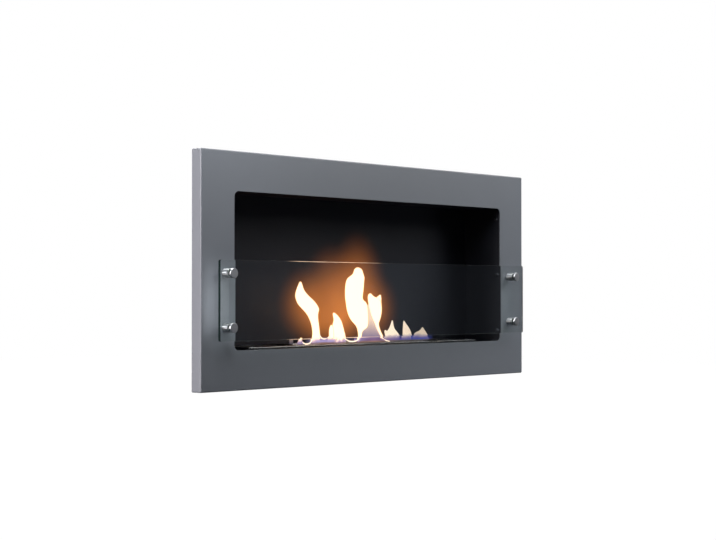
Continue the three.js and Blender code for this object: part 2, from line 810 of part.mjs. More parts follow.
function burnerWell() {
  const margin = FLOOR_CUTOUT_CLEARANCE + WELL_CLEARANCE + WELL_SHEET;
  const [length, width] = [containerLength + 2 * margin, containerWidth + 2 * margin];
  const topZ = floorTopZ - FIREBOX_SHEET - SEAT_GAP;
  const lowZ = containerLowZ - WELL_BOTTOM_CLEARANCE - WELL_SHEET;
  const body = tray(length, width, topZ - lowZ, WELL_SHEET, WELL_BEND)
    .translate([0, 0, lowZ]);
  const inside = roundedOutline(length - 2 * WELL_SHEET, width - 2 * WELL_SHEET);
  const flange = levelSheet(
    shapeOf(roundedOutline(length + 2 * WELL_FLANGE, width + 2 * WELL_FLANGE), [inside]),
    topZ - WELL_SHEET,
    WELL_SHEET,
  );
  const behind = block([-length, width / 2, lowZ - 1], [length, width, topZ + 1]);
  return body.add(flange).subtract(behind).translate([0, deckCentreY, 0]);
}

add('burner_well', burnerWell(), galvanised);
add('fuel_container', fuelContainer(), stainless);
add('wool_core', woolCore(), ceramicWool);
add('burner_deck', burnerDeck(), stainless);
sides.forEach(([side, signX]) => {
  add(`shutter_guide_${side}`, guide(signX), stainless);
});
add('shutter_plate', shutter(), stainless);

// The group's origin goes to the wall plane, in the middle of the upper hanger strip.
fireplace.position.set(0, -TOTAL_DEPTH, -hangerZ);

export default fireplace;
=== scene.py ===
"""Looks for a wall-hung bioethanol fireplace: frame, glass, fixings, burner and flames."""

import math

import bmesh
import bpy
from bpy.props import FloatProperty, FloatVectorProperty, IntProperty, PointerProperty
from mathutils import Matrix, Vector, noise


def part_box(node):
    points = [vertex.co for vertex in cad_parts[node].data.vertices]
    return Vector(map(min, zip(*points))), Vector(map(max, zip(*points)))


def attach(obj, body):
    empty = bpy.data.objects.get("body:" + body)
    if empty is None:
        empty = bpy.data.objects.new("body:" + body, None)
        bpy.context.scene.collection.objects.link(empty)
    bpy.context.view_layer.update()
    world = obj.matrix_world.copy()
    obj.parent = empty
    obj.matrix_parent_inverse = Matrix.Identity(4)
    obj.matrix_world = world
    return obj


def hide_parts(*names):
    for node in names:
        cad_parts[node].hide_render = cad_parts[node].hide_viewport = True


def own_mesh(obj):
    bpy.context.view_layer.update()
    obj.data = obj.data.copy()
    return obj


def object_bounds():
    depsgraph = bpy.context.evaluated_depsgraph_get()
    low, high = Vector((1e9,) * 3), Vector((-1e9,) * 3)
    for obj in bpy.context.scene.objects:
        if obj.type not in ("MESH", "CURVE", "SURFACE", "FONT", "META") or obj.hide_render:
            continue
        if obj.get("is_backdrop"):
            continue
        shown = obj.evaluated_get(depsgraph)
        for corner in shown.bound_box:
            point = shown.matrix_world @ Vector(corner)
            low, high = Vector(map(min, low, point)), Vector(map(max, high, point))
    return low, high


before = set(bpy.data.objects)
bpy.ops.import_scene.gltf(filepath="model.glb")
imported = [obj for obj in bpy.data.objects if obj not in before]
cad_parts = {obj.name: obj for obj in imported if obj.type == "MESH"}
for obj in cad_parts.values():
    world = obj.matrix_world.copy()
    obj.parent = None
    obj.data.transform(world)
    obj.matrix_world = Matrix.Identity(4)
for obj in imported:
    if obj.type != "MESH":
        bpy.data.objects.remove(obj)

bl_info = {
    "name": "Bioethanol Fireplace",
    "version": (1, 0, 0),
    "blender": (4, 5, 0),
    "location": "View3D > Sidebar > Fireplace",
    "description": "Dresses a wall-hung bioethanol fireplace with its finishes, glass and flames",
    "category": "Object",
}

MM = 0.001
QUARTER = math.pi / 2
LEVELS = ("lower", "upper")
SIDES = ("left", "right")
FIXINGS = [f"{level}_{side}" for level in LEVELS for side in SIDES]

# Points nearer than this, in metres, lie in one plane.
TOUCH = 1e-6
# Edges that turn by more than this, in radians, are corners.
CORNER = 1


def linear(hex_colour):
    """An sRGB hex colour as linear red, green, blue and alpha."""
    values = [int(hex_colour[i:i + 2], 16) / 255 for i in (1, 3, 5)]
    return tuple(
        v / 12.92 if v <= 0.04045 else ((v + 0.055) / 1.055) ** 2.4 for v in values
    ) + (1.0,)


def length(name, description, millimetres):
    return FloatProperty(
        name=name, description=description, default=millimetres * MM, unit="LENGTH", min=0
    )


def colour(name, description, hex_colour):
    return FloatVectorProperty(
        name=name,
        description=description,
        default=linear(hex_colour)[:3],
        subtype="COLOR",
        min=0,
        max=1,
    )


def number(name, description, default, high=100.0):
    return FloatProperty(name=name, description=description, default=default, min=0, max=high)


def steps(name, description, default):
    return IntProperty(name=name, description=description, default=default, min=1, max=96)


# ------------------------------------------------------------------ sizes and colours


class FireplaceSizes(bpy.types.PropertyGroup):
    """Sizes that the solids leave to the finish: bends, broken edges and facets."""

    frame_sheet: length("Frame Sheet", "Thickness of the front frame's sheet", 1.5)
    frame_bend: length("Frame Bend", "Outer radius of the frame's folded edges", 2.5)
    opening_radius: length("Opening Radius", "Corner radius of the fire opening", 10)
    cut_edge: length("Cut Edge", "Rounding that the paint leaves on a cut edge", 0.35)
    collar_sheet: length("Collar Sheet", "Thickness of the opening's collar", 1.2)
    collar_flange: length("Collar Flange", "Width of the collar's flange", 12)
    glass_corner: length("Glass Corner", "Corner radius of the pane", 3)
    glass_arris: length("Glass Arris", "Width of the pane's ground arris", 0.5)
    glass_hole: length("Glass Hole", "Diameter of the pane's four holes", 12)
    fixing_bore: length("Fixing Bore", "Bore of the barrels and gaskets", 8.6)
    barrel_chamfer: length("Barrel Chamfer", "Chamfer on both ends of a barrel", 0.6)
    gasket_chamfer: length("Gasket Chamfer", "Chamfer on both ends of a gasket", 0.15)
    cap_edge: length("Cap Edge", "Rounding of a cap's face", 1.0)
    rivet_shank: length("Rivet Shank", "Diameter of a rivet's shank", 4)
    deck_sheet: length("Deck Sheet", "Thickness of the burner's deck", 1.5)
    deck_bend: length("Deck Bend", "Outer radius of the deck's folded edges", 2)
    slot_lip: length("Slot Lip", "Depth of the lip turned down round the flame slot", 3)
    tab_height: length("Tab Height", "Height of the shutter's push tab", 9)
    bend_steps: steps("Bend Steps", "Facets across a bend", 6)
    corner_steps: steps("Corner Steps", "Facets round a corner of the opening", 12)
    hole_steps: steps("Hole Steps", "Facets round a hole in the frame, half of the pane's", 24)
    turned_steps: steps("Turned Steps", "Facets round a turned piece", 64)


class FireplaceFlames(bpy.types.PropertyGroup):
    """The flames' thickness and light."""

    depth_share: number("Depth Share", "A flame's depth as a share of its width", 0.5, 1)
    rim: length("Rim", "Thickness of the orange rim round a flame's core", 1.1)
    core_strength: number("Core Strength", "Light of the white-hot core", 4)
    pale_strength: number("Pale Strength", "Light of the low flames", 1.25)
    veil_strength: number("Veil Strength", "Light of the thin veil", 1)
    hem_strength: number("Hem Strength", "Light of the folds between flames", 1.5)
    rim_strength: number("Rim Strength", "Light of the orange rim", 1.1)
    base_strength: number("Base Strength", "Light of the blue base", 0.9)
    # Strength of the painted light on the pane's arrises, which stands in for the flames' light
    # there.
    painted_arris_strength: number("Edge Strength", "Light of the flames at the pane's arrises", 1.4)
    # Strength of the painted glow round the tall flames, which stands in for their halo.
    painted_glow_strength: number("Glow Strength", "Light of the air round the flames", 17)


class FireplaceColours(bpy.types.PropertyGroup):
    """Colours of the finishes."""

    grey_paint: colour("Grey Paint", "Powder coat of the front frame", "#777c84")
    black_paint: colour("Black Paint", "Stove paint of the firebox", "#191c24")
    steel: colour("Steel", "Stainless steel", "#c2c4c8")
    zinc: colour("Zinc", "Galvanised steel", "#a8adb0")
    glass: colour("Glass", "Body tint of the pane", "#fafdfc")
    glass_edge: colour("Glass Edge", "Tint seen through the pane's edges", "#061b19")
    silicone: colour("Silicone", "Clear silicone of the gaskets", "#9aa0a2")
    wool: colour("Wool", "Ceramic wool", "#d9d4c6")
    flame_core: colour("Flame Core", "Light of the white-hot core", "#ffd4b0")
    flame_pale: colour("Flame Pale", "Light of the low flames", "#ffe6cc")
    # Colour of the painted glow round the tall flames, which stands in for their halo.
    painted_flame_glow: colour("Flame Glow", "Light of the air round the flames", "#ff9138")
    flame_rim: colour("Flame Rim", "Light of the orange rim", "#ffc27e")
    flame_base: colour("Flame Base", "Light of the blue base", "#9c8db8")


class FireplaceStudio(bpy.types.PropertyGroup):
    """Lamps and floor of the studio."""

    key: number("Key", "Power of the lamp above the right front, in watts", 18.4, 5000)
    low: number("Low", "Power of the lamp low on the right, in watts", 2.7, 5000)
    top: number("Top", "Power of the near lamp above the top left corner, in watts", 1.5, 5000)
    side: number("Side", "Power of the lamp on the left, in watts", 32, 5000)
    overhead: number("Overhead", "Power of the lamp straight above, in watts", 11, 5000)
    glint: number("Glint", "Power of the lamps that only mirrors and glass see, in watts", 60, 5000)
    edge: number("Edge", "Power of the small lamp that grazes the fixings, in watts", 20, 5000)
    back: number("Back", "Power of the lamp behind, in watts", 60, 5000)
    glass_end: number("Glass End", "Power of the light off the pane's end, in watts", 0.023, 9)
    sky: number("Sky", "Strength of the even light from all round", 0.038, 5)
    floor_drop: length("Floor Drop", "Height of the part above the floor", 700)


GROUPS = {
    "fireplace_sizes": FireplaceSizes,
    "fireplace_flames": FireplaceFlames,
    "fireplace_colours": FireplaceColours,
    "fireplace_studio": FireplaceStudio,
}


def settings(name):
    return getattr(bpy.context.scene, f"fireplace_{name}")


# ------------------------------------------------------------------ materials

WHITE = (1, 1, 1, 1)
# Most of a noise's values lie between these two.
NOISE = (0.35, 0.65)


def add_node(tree, kind, inputs=None, output=0, **options):
    """Adds one node and returns one of its outputs.

    Inputs are values, or the outputs that feed them. Options are the node's settings.
    """
    node = tree.nodes.new(f"ShaderNode{kind}")
    for name, value in options.items():
        setattr(node, name, value)
    for name, value in (inputs or {}).items():
        if isinstance(value, bpy.types.NodeSocket):
            tree.links.new(value, node.inputs[name])
        else:
            node.inputs[name].default_value = value
    return node.outputs[output] if node.outputs else None


def rgba(name):
    return (*getattr(settings("colours"), name), 1.0)


def shade(tint, *factors):
    """The colour scaled by one factor, or by one each for red, green and blue."""
    if len(factors) == 1:
        factors *= 3
    return (*[min(1.0, part * factor) for part, factor in zip(tint, factors)], 1.0)


def mottle(tree, millimetres, detail=2.0, stretch=None):
    """Noise with features of about that size, on Object coordinates."""
    place = add_node(tree, "TexCoord", output="Object")
    if stretch:
        place = add_node(tree, "Mapping", {"Vector": place, "Scale": stretch})
    scale = 1 / (millimetres * MM)
    return add_node(
        tree, "TexNoise", {"Vector": place, "Scale": scale, "Detail": detail}, "Fac"
    )


def faded(tree, *ramps):
    """The product of ramps.

    Each is (value, start, end, low, high): while the value goes from start to end, the ramp
    goes from low to high, and before and after them it stays there.
    """
    product = None
    for value, start, end, low, high in ramps:
        ramp = add_node(tree, "MapRange", {
            "Value": value, "From Min": start, "From Max": end, "To Min": low, "To Max": high,
        })
        if product is not None:
            ramp = add_node(tree, "Math", {0: product, 1: ramp}, operation="MULTIPLY")
        product = ramp
    return product


def surface(tree, values, tones=None, roughness=None, relief=None, reach=NOISE):
    """A solid surface, from its even values and from what follows a pattern.

    Tones are (pattern, low, high) with two colours, roughness is (pattern, low, high) with
    two numbers, for a pattern between the two ends of reach, and relief is (pattern, height
    in millimetres).
    """
    varied = {}
    if tones:
        varied["Base Color"] = add_node(
            tree, "Mix", dict(zip((0, 6, 7), tones)), 2, data_type="RGBA"
        )
    if roughness:
        pattern, low, high = roughness
        varied["Roughness"] = faded(tree, (pattern, *reach, low, high))
    if relief:
        pattern, millimetres = relief
        varied["Normal"] = add_node(
            tree, "Bump", {"Height": pattern, "Distance": millimetres * MM, "Strength": 1.0}
        )
    return add_node(tree, "BsdfPrincipled", {**values, **varied})


def burning(tree, tint, strength, cover):
    """Light that hides what is behind it by the share cover."""
    glow = add_node(tree, "Emission", {"Color": tint, "Strength": strength})
    clear = add_node(tree, "BsdfTransparent")
    return add_node(tree, "MixShader", {0: cover, 1: clear, 2: glow})


MATERIALS = {}


def finish_of(draw):
    """The material that the function draws, made once and named after it."""
    if draw not in MATERIALS:
        material = bpy.data.materials.new(draw.__name__)
        material.use_nodes = True
        tree = material.node_tree
        tree.nodes.clear()
        drawn = draw(tree)
        # Most functions return a surface alone, and the painted glow returns its volume too.
        add_node(
            tree, "OutputMaterial", drawn if isinstance(drawn, dict) else {"Surface": drawn}
        )
        MATERIALS[draw] = material
    return MATERIALS[draw]


def grey_powder_coat(tree):
    # Powder coat, sprayed and baked: an even satin grey with a faint orange peel that
    # breaks up the edge of a reflection. The peel is about 2 mm across.
    peel = mottle(tree, 2.2)
    grey = rgba("grey_paint")
    return surface(
        tree,
        {"Specular IOR Level": 0.4},
        tones=(mottle(tree, 60, 3), shade(grey, 0.965), shade(grey, 1.035)),
        roughness=(peel, 0.4, 0.48),
        relief=(peel, 0.02),
    )


def black_stove_paint(tree):
    # Heat-resistant stove paint, sprayed and stoved: a deep matt black with a dry, fine
    # grain and slightly browner, duller patches where the fire has heated it.
    heat = mottle(tree, 90, 3)
    black = rgba("black_paint")
    return surface(
        tree,
        {"Specular IOR Level": 0.12},
        tones=(heat, shade(black, 0.8), shade(black, 1.35, 1.2, 1.1)),
        roughness=(heat, 0.5, 0.6),
        relief=(mottle(tree, 0.9), 0.03),
    )


def brushed_stainless_steel(tree):
    # Stainless sheet, brushed along its length: the brushing spreads a lamp's light.
    return brushed(tree, 0.45)


def heat_darkened_steel(tree):
    # Stainless sheet that the fire has heated again and again: brushed, and browned so far
    # that it mirrors little more than the flames.
    return brushed(tree, 0.17)


def brushed(tree, share):
    """Brushed sheet: lines 0.5 mm apart, coarser than real so that they show, straw tints."""
    lines = mottle(tree, 0.5, 3, stretch=(0.01, 1, 1))
    steel = shade(rgba("steel"), share)
    straw = shade(steel, 1, 0.88, 0.68)
    return surface(
        tree,
        {"Metallic": 1.0},
        tones=(faded(tree, (mottle(tree, 45), 0.4, 0.7, 0, 0.8)), steel, straw),
        roughness=(lines, 0.24, 0.34),
        relief=(lines, 0.005),
    )


def turned_stainless_steel(tree):
    # Stainless bar, turned on a lathe: rings round the axis, about 0.5 mm apart and so
    # coarser than real, which spread a lamp into a bright line along the barrel.
    spacing = 0.4932 * MM
    # A wave of scale 1 goes through 20 radians a metre.
    scale = 2 * math.pi / 20 / spacing
    place = add_node(tree, "TexCoord", output="Object")
    rings = add_node(
        tree, "TexWave",
        {"Vector": place, "Scale": scale, "Distortion": 0.4, "Detail": 1.0}, "Fac",
        wave_type="BANDS", bands_direction="Y",
    )
    along = add_node(tree, "Tangent", direction_type="UV_MAP", uv_map="turned")
    return surface(
        tree,
        {
            "Base Color": shade(rgba("steel"), 0.8),
            "Metallic": 1.0,
            "Anisotropic": 1.0,
            "Tangent": along,
        },
        roughness=(rings, 0.3, 0.34),
        relief=(rings, 0.004),
        reach=(0, 1),
    )


def faced_stainless_steel(tree):
    # The flat face of a cap, faced on the lathe and blasted: an even, soft grey.
    grit = mottle(tree, 0.8)
    steel = rgba("steel")
    return surface(
        tree,
        {"Metallic": 1.0},
        tones=(grit, shade(steel, 0.55), shade(steel, 0.65)),
        roughness=(grit, 0.48, 0.56),
        relief=(grit, 0.006),
    )


def zinc_plated_steel(tree):
    # Small fasteners, pressed and zinc plated: a pale, slightly blue metal with a soft shine
    # and faint marks of the tool, 1 mm apart.
    marks = mottle(tree, 1, 3)
    zinc = rgba("zinc")
    return surface(
        tree,
        {"Metallic": 1.0},
        tones=(marks, shade(zinc, 0.85), shade(zinc, 1.1)),
        roughness=(marks, 0.28, 0.4),
        relief=(marks, 0.01),
    )


def blackened_steel(tree):
    # Rivets, pressed and oxidised black: a dark metal whose domes catch a small highlight.
    marks = mottle(tree, 1, 3)
    dark = linear("#3c3f44")
    return surface(
        tree,
        {"Metallic": 1.0},
        tones=(marks, shade(dark, 0.7), dark),
        roughness=(marks, 0.35, 0.45),
    )


def galvanised_steel(tree):
    # Hot-dip galvanised sheet: crystals of zinc about 8 mm across, each a slightly
    # different grey, with a soft dull shine.
    place = add_node(tree, "TexCoord", output="Object")
    crystals = add_node(
        tree, "TexVoronoi", {"Vector": place, "Scale": 1 / (8 * MM), "Randomness": 1.0}, "Color"
    )
    grey = add_node(tree, "RGBToBW", {"Color": crystals})
    zinc = rgba("zinc")
    return surface(
        tree,
        {"Metallic": 0.85},
        tones=(grey, shade(zinc, 0.82), shade(zinc, 1.12)),
        roughness=(grey, 0.36, 0.52),
        relief=(mottle(tree, 1.5), 0.01),
        reach=(0, 1),
    )


def clear_float_glass(tree):
    # Tempered float glass, fire-polished faces: nearly colourless, with a faint green
    # body and a clean reflection. Lamps reach what is behind it.
    tint = rgba("glass")
    glass = surface(
        tree,
        {
            "Base Color": tint,
            "Roughness": 0.0,
            "IOR": 1.5,
            "Transmission Weight": 1.0,
            "Specular IOR Level": 0.5,
        },
        relief=(mottle(tree, 120, 1), 0.05),
    )
    clear = add_node(tree, "BsdfTransparent", {"Color": tint})
    shadow = add_node(tree, "LightPath", output="Is Shadow Ray")
    return add_node(tree, "MixShader", {0: shadow, 1: glass, 2: clear})


def polished_glass_edge(tree):
    # The pane's polished ends: the eye looks along the whole sheet there, so that the
    # glass's green shows deep and dark.
    grind = mottle(tree, 0.6)
    return surface(
        tree,
        {"Base Color": rgba("glass_edge"), "IOR": 1.5, "Transmission Weight": 0.2},
        roughness=(grind, 0.12, 0.25),
        relief=(grind, 0.01),
    )


def ground_glass_edge(tree):
    # The ground long edges: frosted, pale and a little green.
    grind = mottle(tree, 0.4)
    return surface(
        tree,
        {"Roughness": 0.5, "IOR": 1.5},
        tones=(grind, linear("#66736f"), linear("#7f8c88")),
        relief=(grind, 0.02),
    )


def clear_silicone(tree):
    # Moulded silicone rubber: milky and half clear, with a soft waxy shine.
    bloom = mottle(tree, 3)
    silicone = rgba("silicone")
    return surface(
        tree,
        {"IOR": 1.41, "Transmission Weight": 0.6},
        tones=(bloom, shade(silicone, 0.9), silicone),
        roughness=(bloom, 0.3, 0.45),
    )


def ceramic_wool(tree):
    # Ceramic fibre board: dry, chalky off-white with matted fibres about 0.8 mm apart.
    fibres = mottle(tree, 0.8, 6)
    wool = rgba("wool")
    return surface(
        tree,
        {"Roughness": 0.95, "Specular IOR Level": 0.2},
        tones=(fibres, shade(wool, 0.7), wool),
        relief=(fibres, 0.6),
    )


def height_over_deck(tree):
    """Height above the burner's deck, in millimetres."""
    place = add_node(tree, "TexCoord", output="Object")
    up = add_node(tree, "SeparateXYZ", {"Vector": place}, "Z")
    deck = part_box("burner_deck")[1].z
    return add_node(
        tree, "MapRange",
        {"Value": up, "From Min": deck, "From Max": deck + 100 * MM, "To Min": 0, "To Max": 100},
        clamp=False,
    )


def place_across(tree):
    """Distance to the right of the slot's middle, in metres."""
    place = add_node(tree, "TexCoord", output="Object")
    return add_node(tree, "SeparateXYZ", {"Vector": place}, "X")


def painted_arris_light(tree):
    # Painted light: glowing beads that stand in for the flames' light which runs inside the pane
    # and leaves at its ground arris: a warm white line in front of the flames, uneven along its
    # length and brighter at the pane's lower edge, that fades at both ends.
    across = place_across(tree)
    light = settings("flames").painted_arris_strength
    strength = faded(
        tree,
        (mottle(tree, 45, 1), *NOISE, 0.6 * light, 1.3 * light),
        (height_over_deck(tree), 50, 100, 1.35, 1),
    )
    cover = faded(
        tree, (across, -270 * MM, -215 * MM, 0, 1), (across, -75 * MM, -15 * MM, 1, 0)
    )
    return burning(tree, linear("#ffd6b4"), strength, cover)


def flame(tree, tint, strength, fade, cover, right=1.0):
    """Burning vapour: lilac and half clear at its foot, and its own colour above that.

    Fade is the two heights that it turns between, in millimetres, cover the share that it
    hides at each, and right the share of its light that is left at the slot's right end.
    """
    lick = mottle(tree, 14, 3, stretch=(1, 1, 0.4))
    raised = add_node(tree, "Math", {
        0: height_over_deck(tree), 1: faded(tree, (lick, *NOISE, -2.5, 2.5)),
    }, operation="ADD")
    rise = faded(tree, (raised, *fade, 0, 1))
    return burning(
        tree,
        add_node(tree, "Mix", {0: rise, 6: rgba("flame_base"), 7: rgba(tint)}, 2, data_type="RGBA"),
        faded(
            tree,
            (raised, *fade, settings("flames").base_strength, strength),
            (place_across(tree), 100 * MM, 160 * MM, 1, right),
        ),
        faded(tree, (raised, *fade, *cover)),
    )


def white_hot_flame(tree):
    # The core of a tall flame: too bright to hold a colour, so that it is white to the eye
    # and golden only where the steel mirrors it. Its foot burns clean and lilac.
    return flame(tree, "flame_core", settings("flames").core_strength, (3, 11), (0.5, 1))


def pale_flame(tree):
    # A low flame: creamy and half clear, because little soot glows in it.
    return flame(
        tree, "flame_pale", settings("flames").pale_strength, (4, 15), (0.4, 0.95), right=0.6
    )


def thin_flame_veil(tree):
    # The thin sheet of flame between the two tallest tongues: pink and half clear above,
    # lilac and clearer below.
    return flame(tree, "flame_pale", settings("flames").veil_strength, (6, 44), (0.45, 0.75))


def bright_flame_hem(tree):
    # The bright fold where the foot of one flame runs into the next.
    return flame(tree, "flame_pale", settings("flames").hem_strength, (-9, 0), (0.5, 0.85))


def orange_flame_rim(tree):
    # The thin cooler skin of a flame, which glows orange and is mostly clear.
    return flame(tree, "flame_rim", settings("flames").rim_strength, (2, 10), (0.2, 0.45))


def blue_flame_base(tree):
    # Clean-burning vapour just above the slot: lilac on the left, mauve in the middle and
    # blue on the right, half clear, in long level wisps that thin towards the top and both
    # ends. Its lowest millimetres are painted brown on the left and dim grey on the right: a
    # painted reflection of the steel's shine under the flames.
    across = place_across(tree)
    height = height_over_deck(tree)
    wisp = mottle(tree, 9, 1, stretch=(0.16, 1, 1))
    mauve, blue, painted_shine_brown, painted_shine_grey = [
        linear(tint) for tint in ("#785c80", "#3a4492", "#8a6c60", "#4c4a48")
    ]
    tint = rgba("flame_base")
    # Painted reflection: the foot takes the steel's brown and grey shine instead of the flame's own
    # colour.
    foot = faded(tree, (height, 2.2, 4.4, 1, 0))
    painted_steel_shine = add_node(
        tree, "Mix", {0: faded(tree, (across, 30 * MM, 100 * MM, 0, 1)), 6: painted_shine_brown, 7: painted_shine_grey}, 2,
        data_type="RGBA",
    )
    for share, further in (
        (faded(tree, (across, -30 * MM, 10 * MM, 0, 1)), mauve),
        (faded(tree, (across, 50 * MM, 130 * MM, 0, 1)), blue),
        (foot, painted_steel_shine),
    ):
        tint = add_node(tree, "Mix", {0: share, 6: tint, 7: further}, 2, data_type="RGBA")
    # A gap in the band, left of the tallest flame.
    gap = add_node(tree, "Math", {0: across, 1: -36 * MM, 2: 20 * MM}, operation="COMPARE")
    cover = faded(
        tree,
        (wisp, *NOISE, 0.6, 0.95),
        (height, 6, 13, 1, 0),
        (across, -150 * MM, -130 * MM, 0, 1),
        (across, 180 * MM, 200 * MM, 1, 0),
        (gap, 0, 1, 1, 0.08),
    )
    return burning(tree, tint, faded(tree, (wisp, *NOISE, 0.85, 1.2)), cover)


def painted_glow_volume(tree):
    # Painted glow round the tall flames: a clear box whose volume glows deep orange and thins
    # outwards from the middle of each flame, in place of the flames' halo and their light on the
    # black sheet behind them.
    place = add_node(tree, "TexCoord", output="Object")
    plane = slot_of_burner()[2]
    total = 0.0
    for x, z, radius_x, radius_z, share in PAINTED_GLOWS:
        radii = [r * MM for r in (radius_x, PAINTED_GLOW_DEPTH, radius_z)]
        centre = (x * MM, plane, z * MM)
        inside = add_node(tree, "Mapping", {
            "Vector": place,
            "Location": [-c / r for c, r in zip(centre, radii)],
            "Scale": [1 / r for r in radii],
        })
        ball = add_node(
            tree, "TexGradient", {"Vector": inside}, "Fac", gradient_type="QUADRATIC_SPHERE"
        )
        total = add_node(
            tree, "Math", {0: ball, 1: share, 2: total}, operation="MULTIPLY_ADD"
        )
    light = settings("flames").painted_glow_strength
    strength = add_node(tree, "Math", {0: total, 1: light}, operation="MULTIPLY")
    return {
        "Surface": add_node(tree, "BsdfTransparent"),
        "Volume": add_node(tree, "Emission", {"Color": rgba("painted_flame_glow"), "Strength": strength}),
    }


def sees_background(tree):
    """1 for rays from the camera, a mirror or through glass, and 0 for light on surfaces."""
    seen = 0.0
    for kind in ("Is Camera Ray", "Is Glossy Ray", "Is Transmission Ray"):
        ray = add_node(tree, "LightPath", output=kind)
        seen = add_node(tree, "Math", {0: seen, 1: ray}, operation="MAXIMUM")
    # A ray that a dull surface sent out through the glass lights it, and isn't a view.
    bounces = add_node(tree, "LightPath", output="Diffuse Depth")
    view = add_node(tree, "Math", {0: bounces, 1: 0.5}, operation="LESS_THAN")
    return add_node(tree, "Math", {0: seen, 1: view}, operation="MULTIPLY")


def pale_studio_floor(tree):
    # A wide painted floor: a dull pale grey under the lamps, and nearly as white as the
    # backdrop to the eye.
    pale = linear("#767675")
    paint = surface(
        tree,
        {"Roughness": 0.8, "Specular IOR Level": 0.1},
        tones=(mottle(tree, 400), shade(pale, 0.97), pale),
    )
    # Brighter than white, because some of the darker paint still shows through.
    brightness, share = 1.18, 0.85
    white = add_node(tree, "Emission", {"Color": WHITE, "Strength": brightness})
    seen = add_node(tree, "Math", {0: sees_background(tree), 1: share}, operation="MULTIPLY")
    floor = add_node(tree, "MixShader", {0: seen, 1: paint, 2: white})
    # From below the floor is clear, so that it never hides the part.
    below = add_node(tree, "NewGeometry", output="Backfacing")
    clear = add_node(tree, "BsdfTransparent")
    return add_node(tree, "MixShader", {0: below, 1: floor, 2: clear})


def studio_screen(tree):
    # A dim, slightly blue screen, paler towards its right and dark again at its right end.
    # It gives the pane and the steel something calm to mirror.
    across = place_across(tree)
    strength = faded(tree, (across, 1.95, 2.25, 0.07, 0.125), (across, 2.27, 2.4, 1, 0.36))
    return add_node(tree, "Emission", {"Color": linear("#dfe8ff"), "Strength": strength})


# ------------------------------------------------------------------ mesh helpers


def scaled(size, centre=(0, 0, 0), turn=None):
    """A matrix that scales, then turns, then moves."""
    place = Matrix.Translation(centre)
    if turn is not None:
        place = place @ turn
    return place @ Matrix.Diagonal((*size, 1))


def rectangle(bm, width, height, radius=0.0, segments=1, centre=(0, 0)):
    """The edges of a rectangle with round corners in the XY plane."""
    made = bmesh.ops.create_grid(
        bm, x_segments=1, y_segments=1, size=0.5,
        matrix=scaled((width, height, 1), (*centre, 0)),
    )
    face = made["verts"][0].link_faces[0]
    if radius > 0:
        rounded = bmesh.ops.bevel(
            bm, geom=made["verts"], offset=radius, segments=segments, profile=0.5,
            affect="VERTICES", clamp_overlap=False, material=-1,
        )
        face = next(
            f for f in bm.faces if any(v in rounded["verts"] for v in f.verts)
        )
    edges = list(face.edges)
    bmesh.ops.delete(bm, geom=[face], context="FACES_ONLY")
    return edges


def circle(bm, diameter, centre, segments):
    """The edges of a circle in the XY plane."""
    made = bmesh.ops.create_circle(
        bm, segments=segments, radius=diameter / 2, matrix=scaled((1, 1, 1), (*centre, 0))
    )
    return list({e for v in made["verts"] for e in v.link_edges})


def fill(bm, edges):
    """Faces between an outline and its holes, facing +Z."""
    made = bmesh.ops.triangle_fill(
        bm, use_beauty=True, use_dissolve=False, edges=edges, normal=(0, 0, 1)
    )
    faces = of_kind(made, bmesh.types.BMFace)
    for face in faces:
        if face.normal.z < 0:
            face.normal_flip()
    return faces


def of_kind(made, kind):
    """The vertices or the faces of what an operator made."""
    return [g for g in made["geom"] if isinstance(g, kind)]


def in_plane(edge):
    """Whether the edge lies in the plane that the sheet was drawn in."""
    return all(abs(v.co.z) < TOUCH for v in edge.verts)


def fold_back(bm, edges, depth):
    """Folds a rim along those edges straight back; returns its side faces."""
    made = bmesh.ops.extrude_edge_only(bm, edges=edges)
    bmesh.ops.translate(bm, vec=(0, 0, -depth), verts=of_kind(made, bmesh.types.BMVert))
    return of_kind(made, bmesh.types.BMFace)


def fold_rim(bm, edges, depth, radius, segments):
    """Folds a rim straight back, with round bends along the sheet and at its corners."""
    sides = fold_back(bm, edges, depth)
    bends = {e for f in sides for e in f.edges if len(e.link_faces) == 2}
    round_edges(bm, list(bends), radius, segments)


def round_edges(bm, edges, radius, segments):
    """Rounds the edges, or chamfers them when there is one segment."""
    bmesh.ops.bevel(
        bm, geom=edges, offset=radius, segments=segments, profile=0.5,
        affect="EDGES", clamp_overlap=True, material=-1,
    )


def cut_along(bm, axis, shortest, cuts):
    """Cuts the edges that reach further than that along the axis into even lengths."""
    edges = [e for e in bm.edges if abs(e.verts[0].co[axis] - e.verts[1].co[axis]) > shortest]
    bmesh.ops.subdivide_edges(bm, edges=edges, cuts=cuts, use_grid_fill=True)


def thicken(bm, sheet):
    """Gives the surface its sheet thickness, towards its inside."""
    bmesh.ops.recalc_face_normals(bm, faces=bm.faces)
    bmesh.ops.solidify(bm, geom=bm.faces[:], thickness=sheet)
    bmesh.ops.recalc_face_normals(bm, faces=bm.faces)


def spin_profile(profile, segments, bore=False):
    """A turned piece about the Y axis from its profile, a list of (radius, y)."""
    bm = bmesh.new()
    first = bm.verts.new((profile[0][0], profile[0][1], 0))
    last, edges = first, []
    for radius, y in profile[1:]:
        point = bm.verts.new((radius, y, 0))
        edges.append(bm.edges.new((last, point)))
        last = point
    if bore:
        edges.append(bm.edges.new((last, first)))
    bmesh.ops.spin(
        bm, geom=bm.verts[:] + edges, axis=(0, 1, 0), cent=(0, 0, 0),
        steps=segments, angle=2 * math.pi, use_merge=True, use_duplicate=False,
    )
    bmesh.ops.remove_doubles(bm, verts=bm.verts, dist=TOUCH)
    bmesh.ops.recalc_face_normals(bm, faces=bm.faces)
    return bm


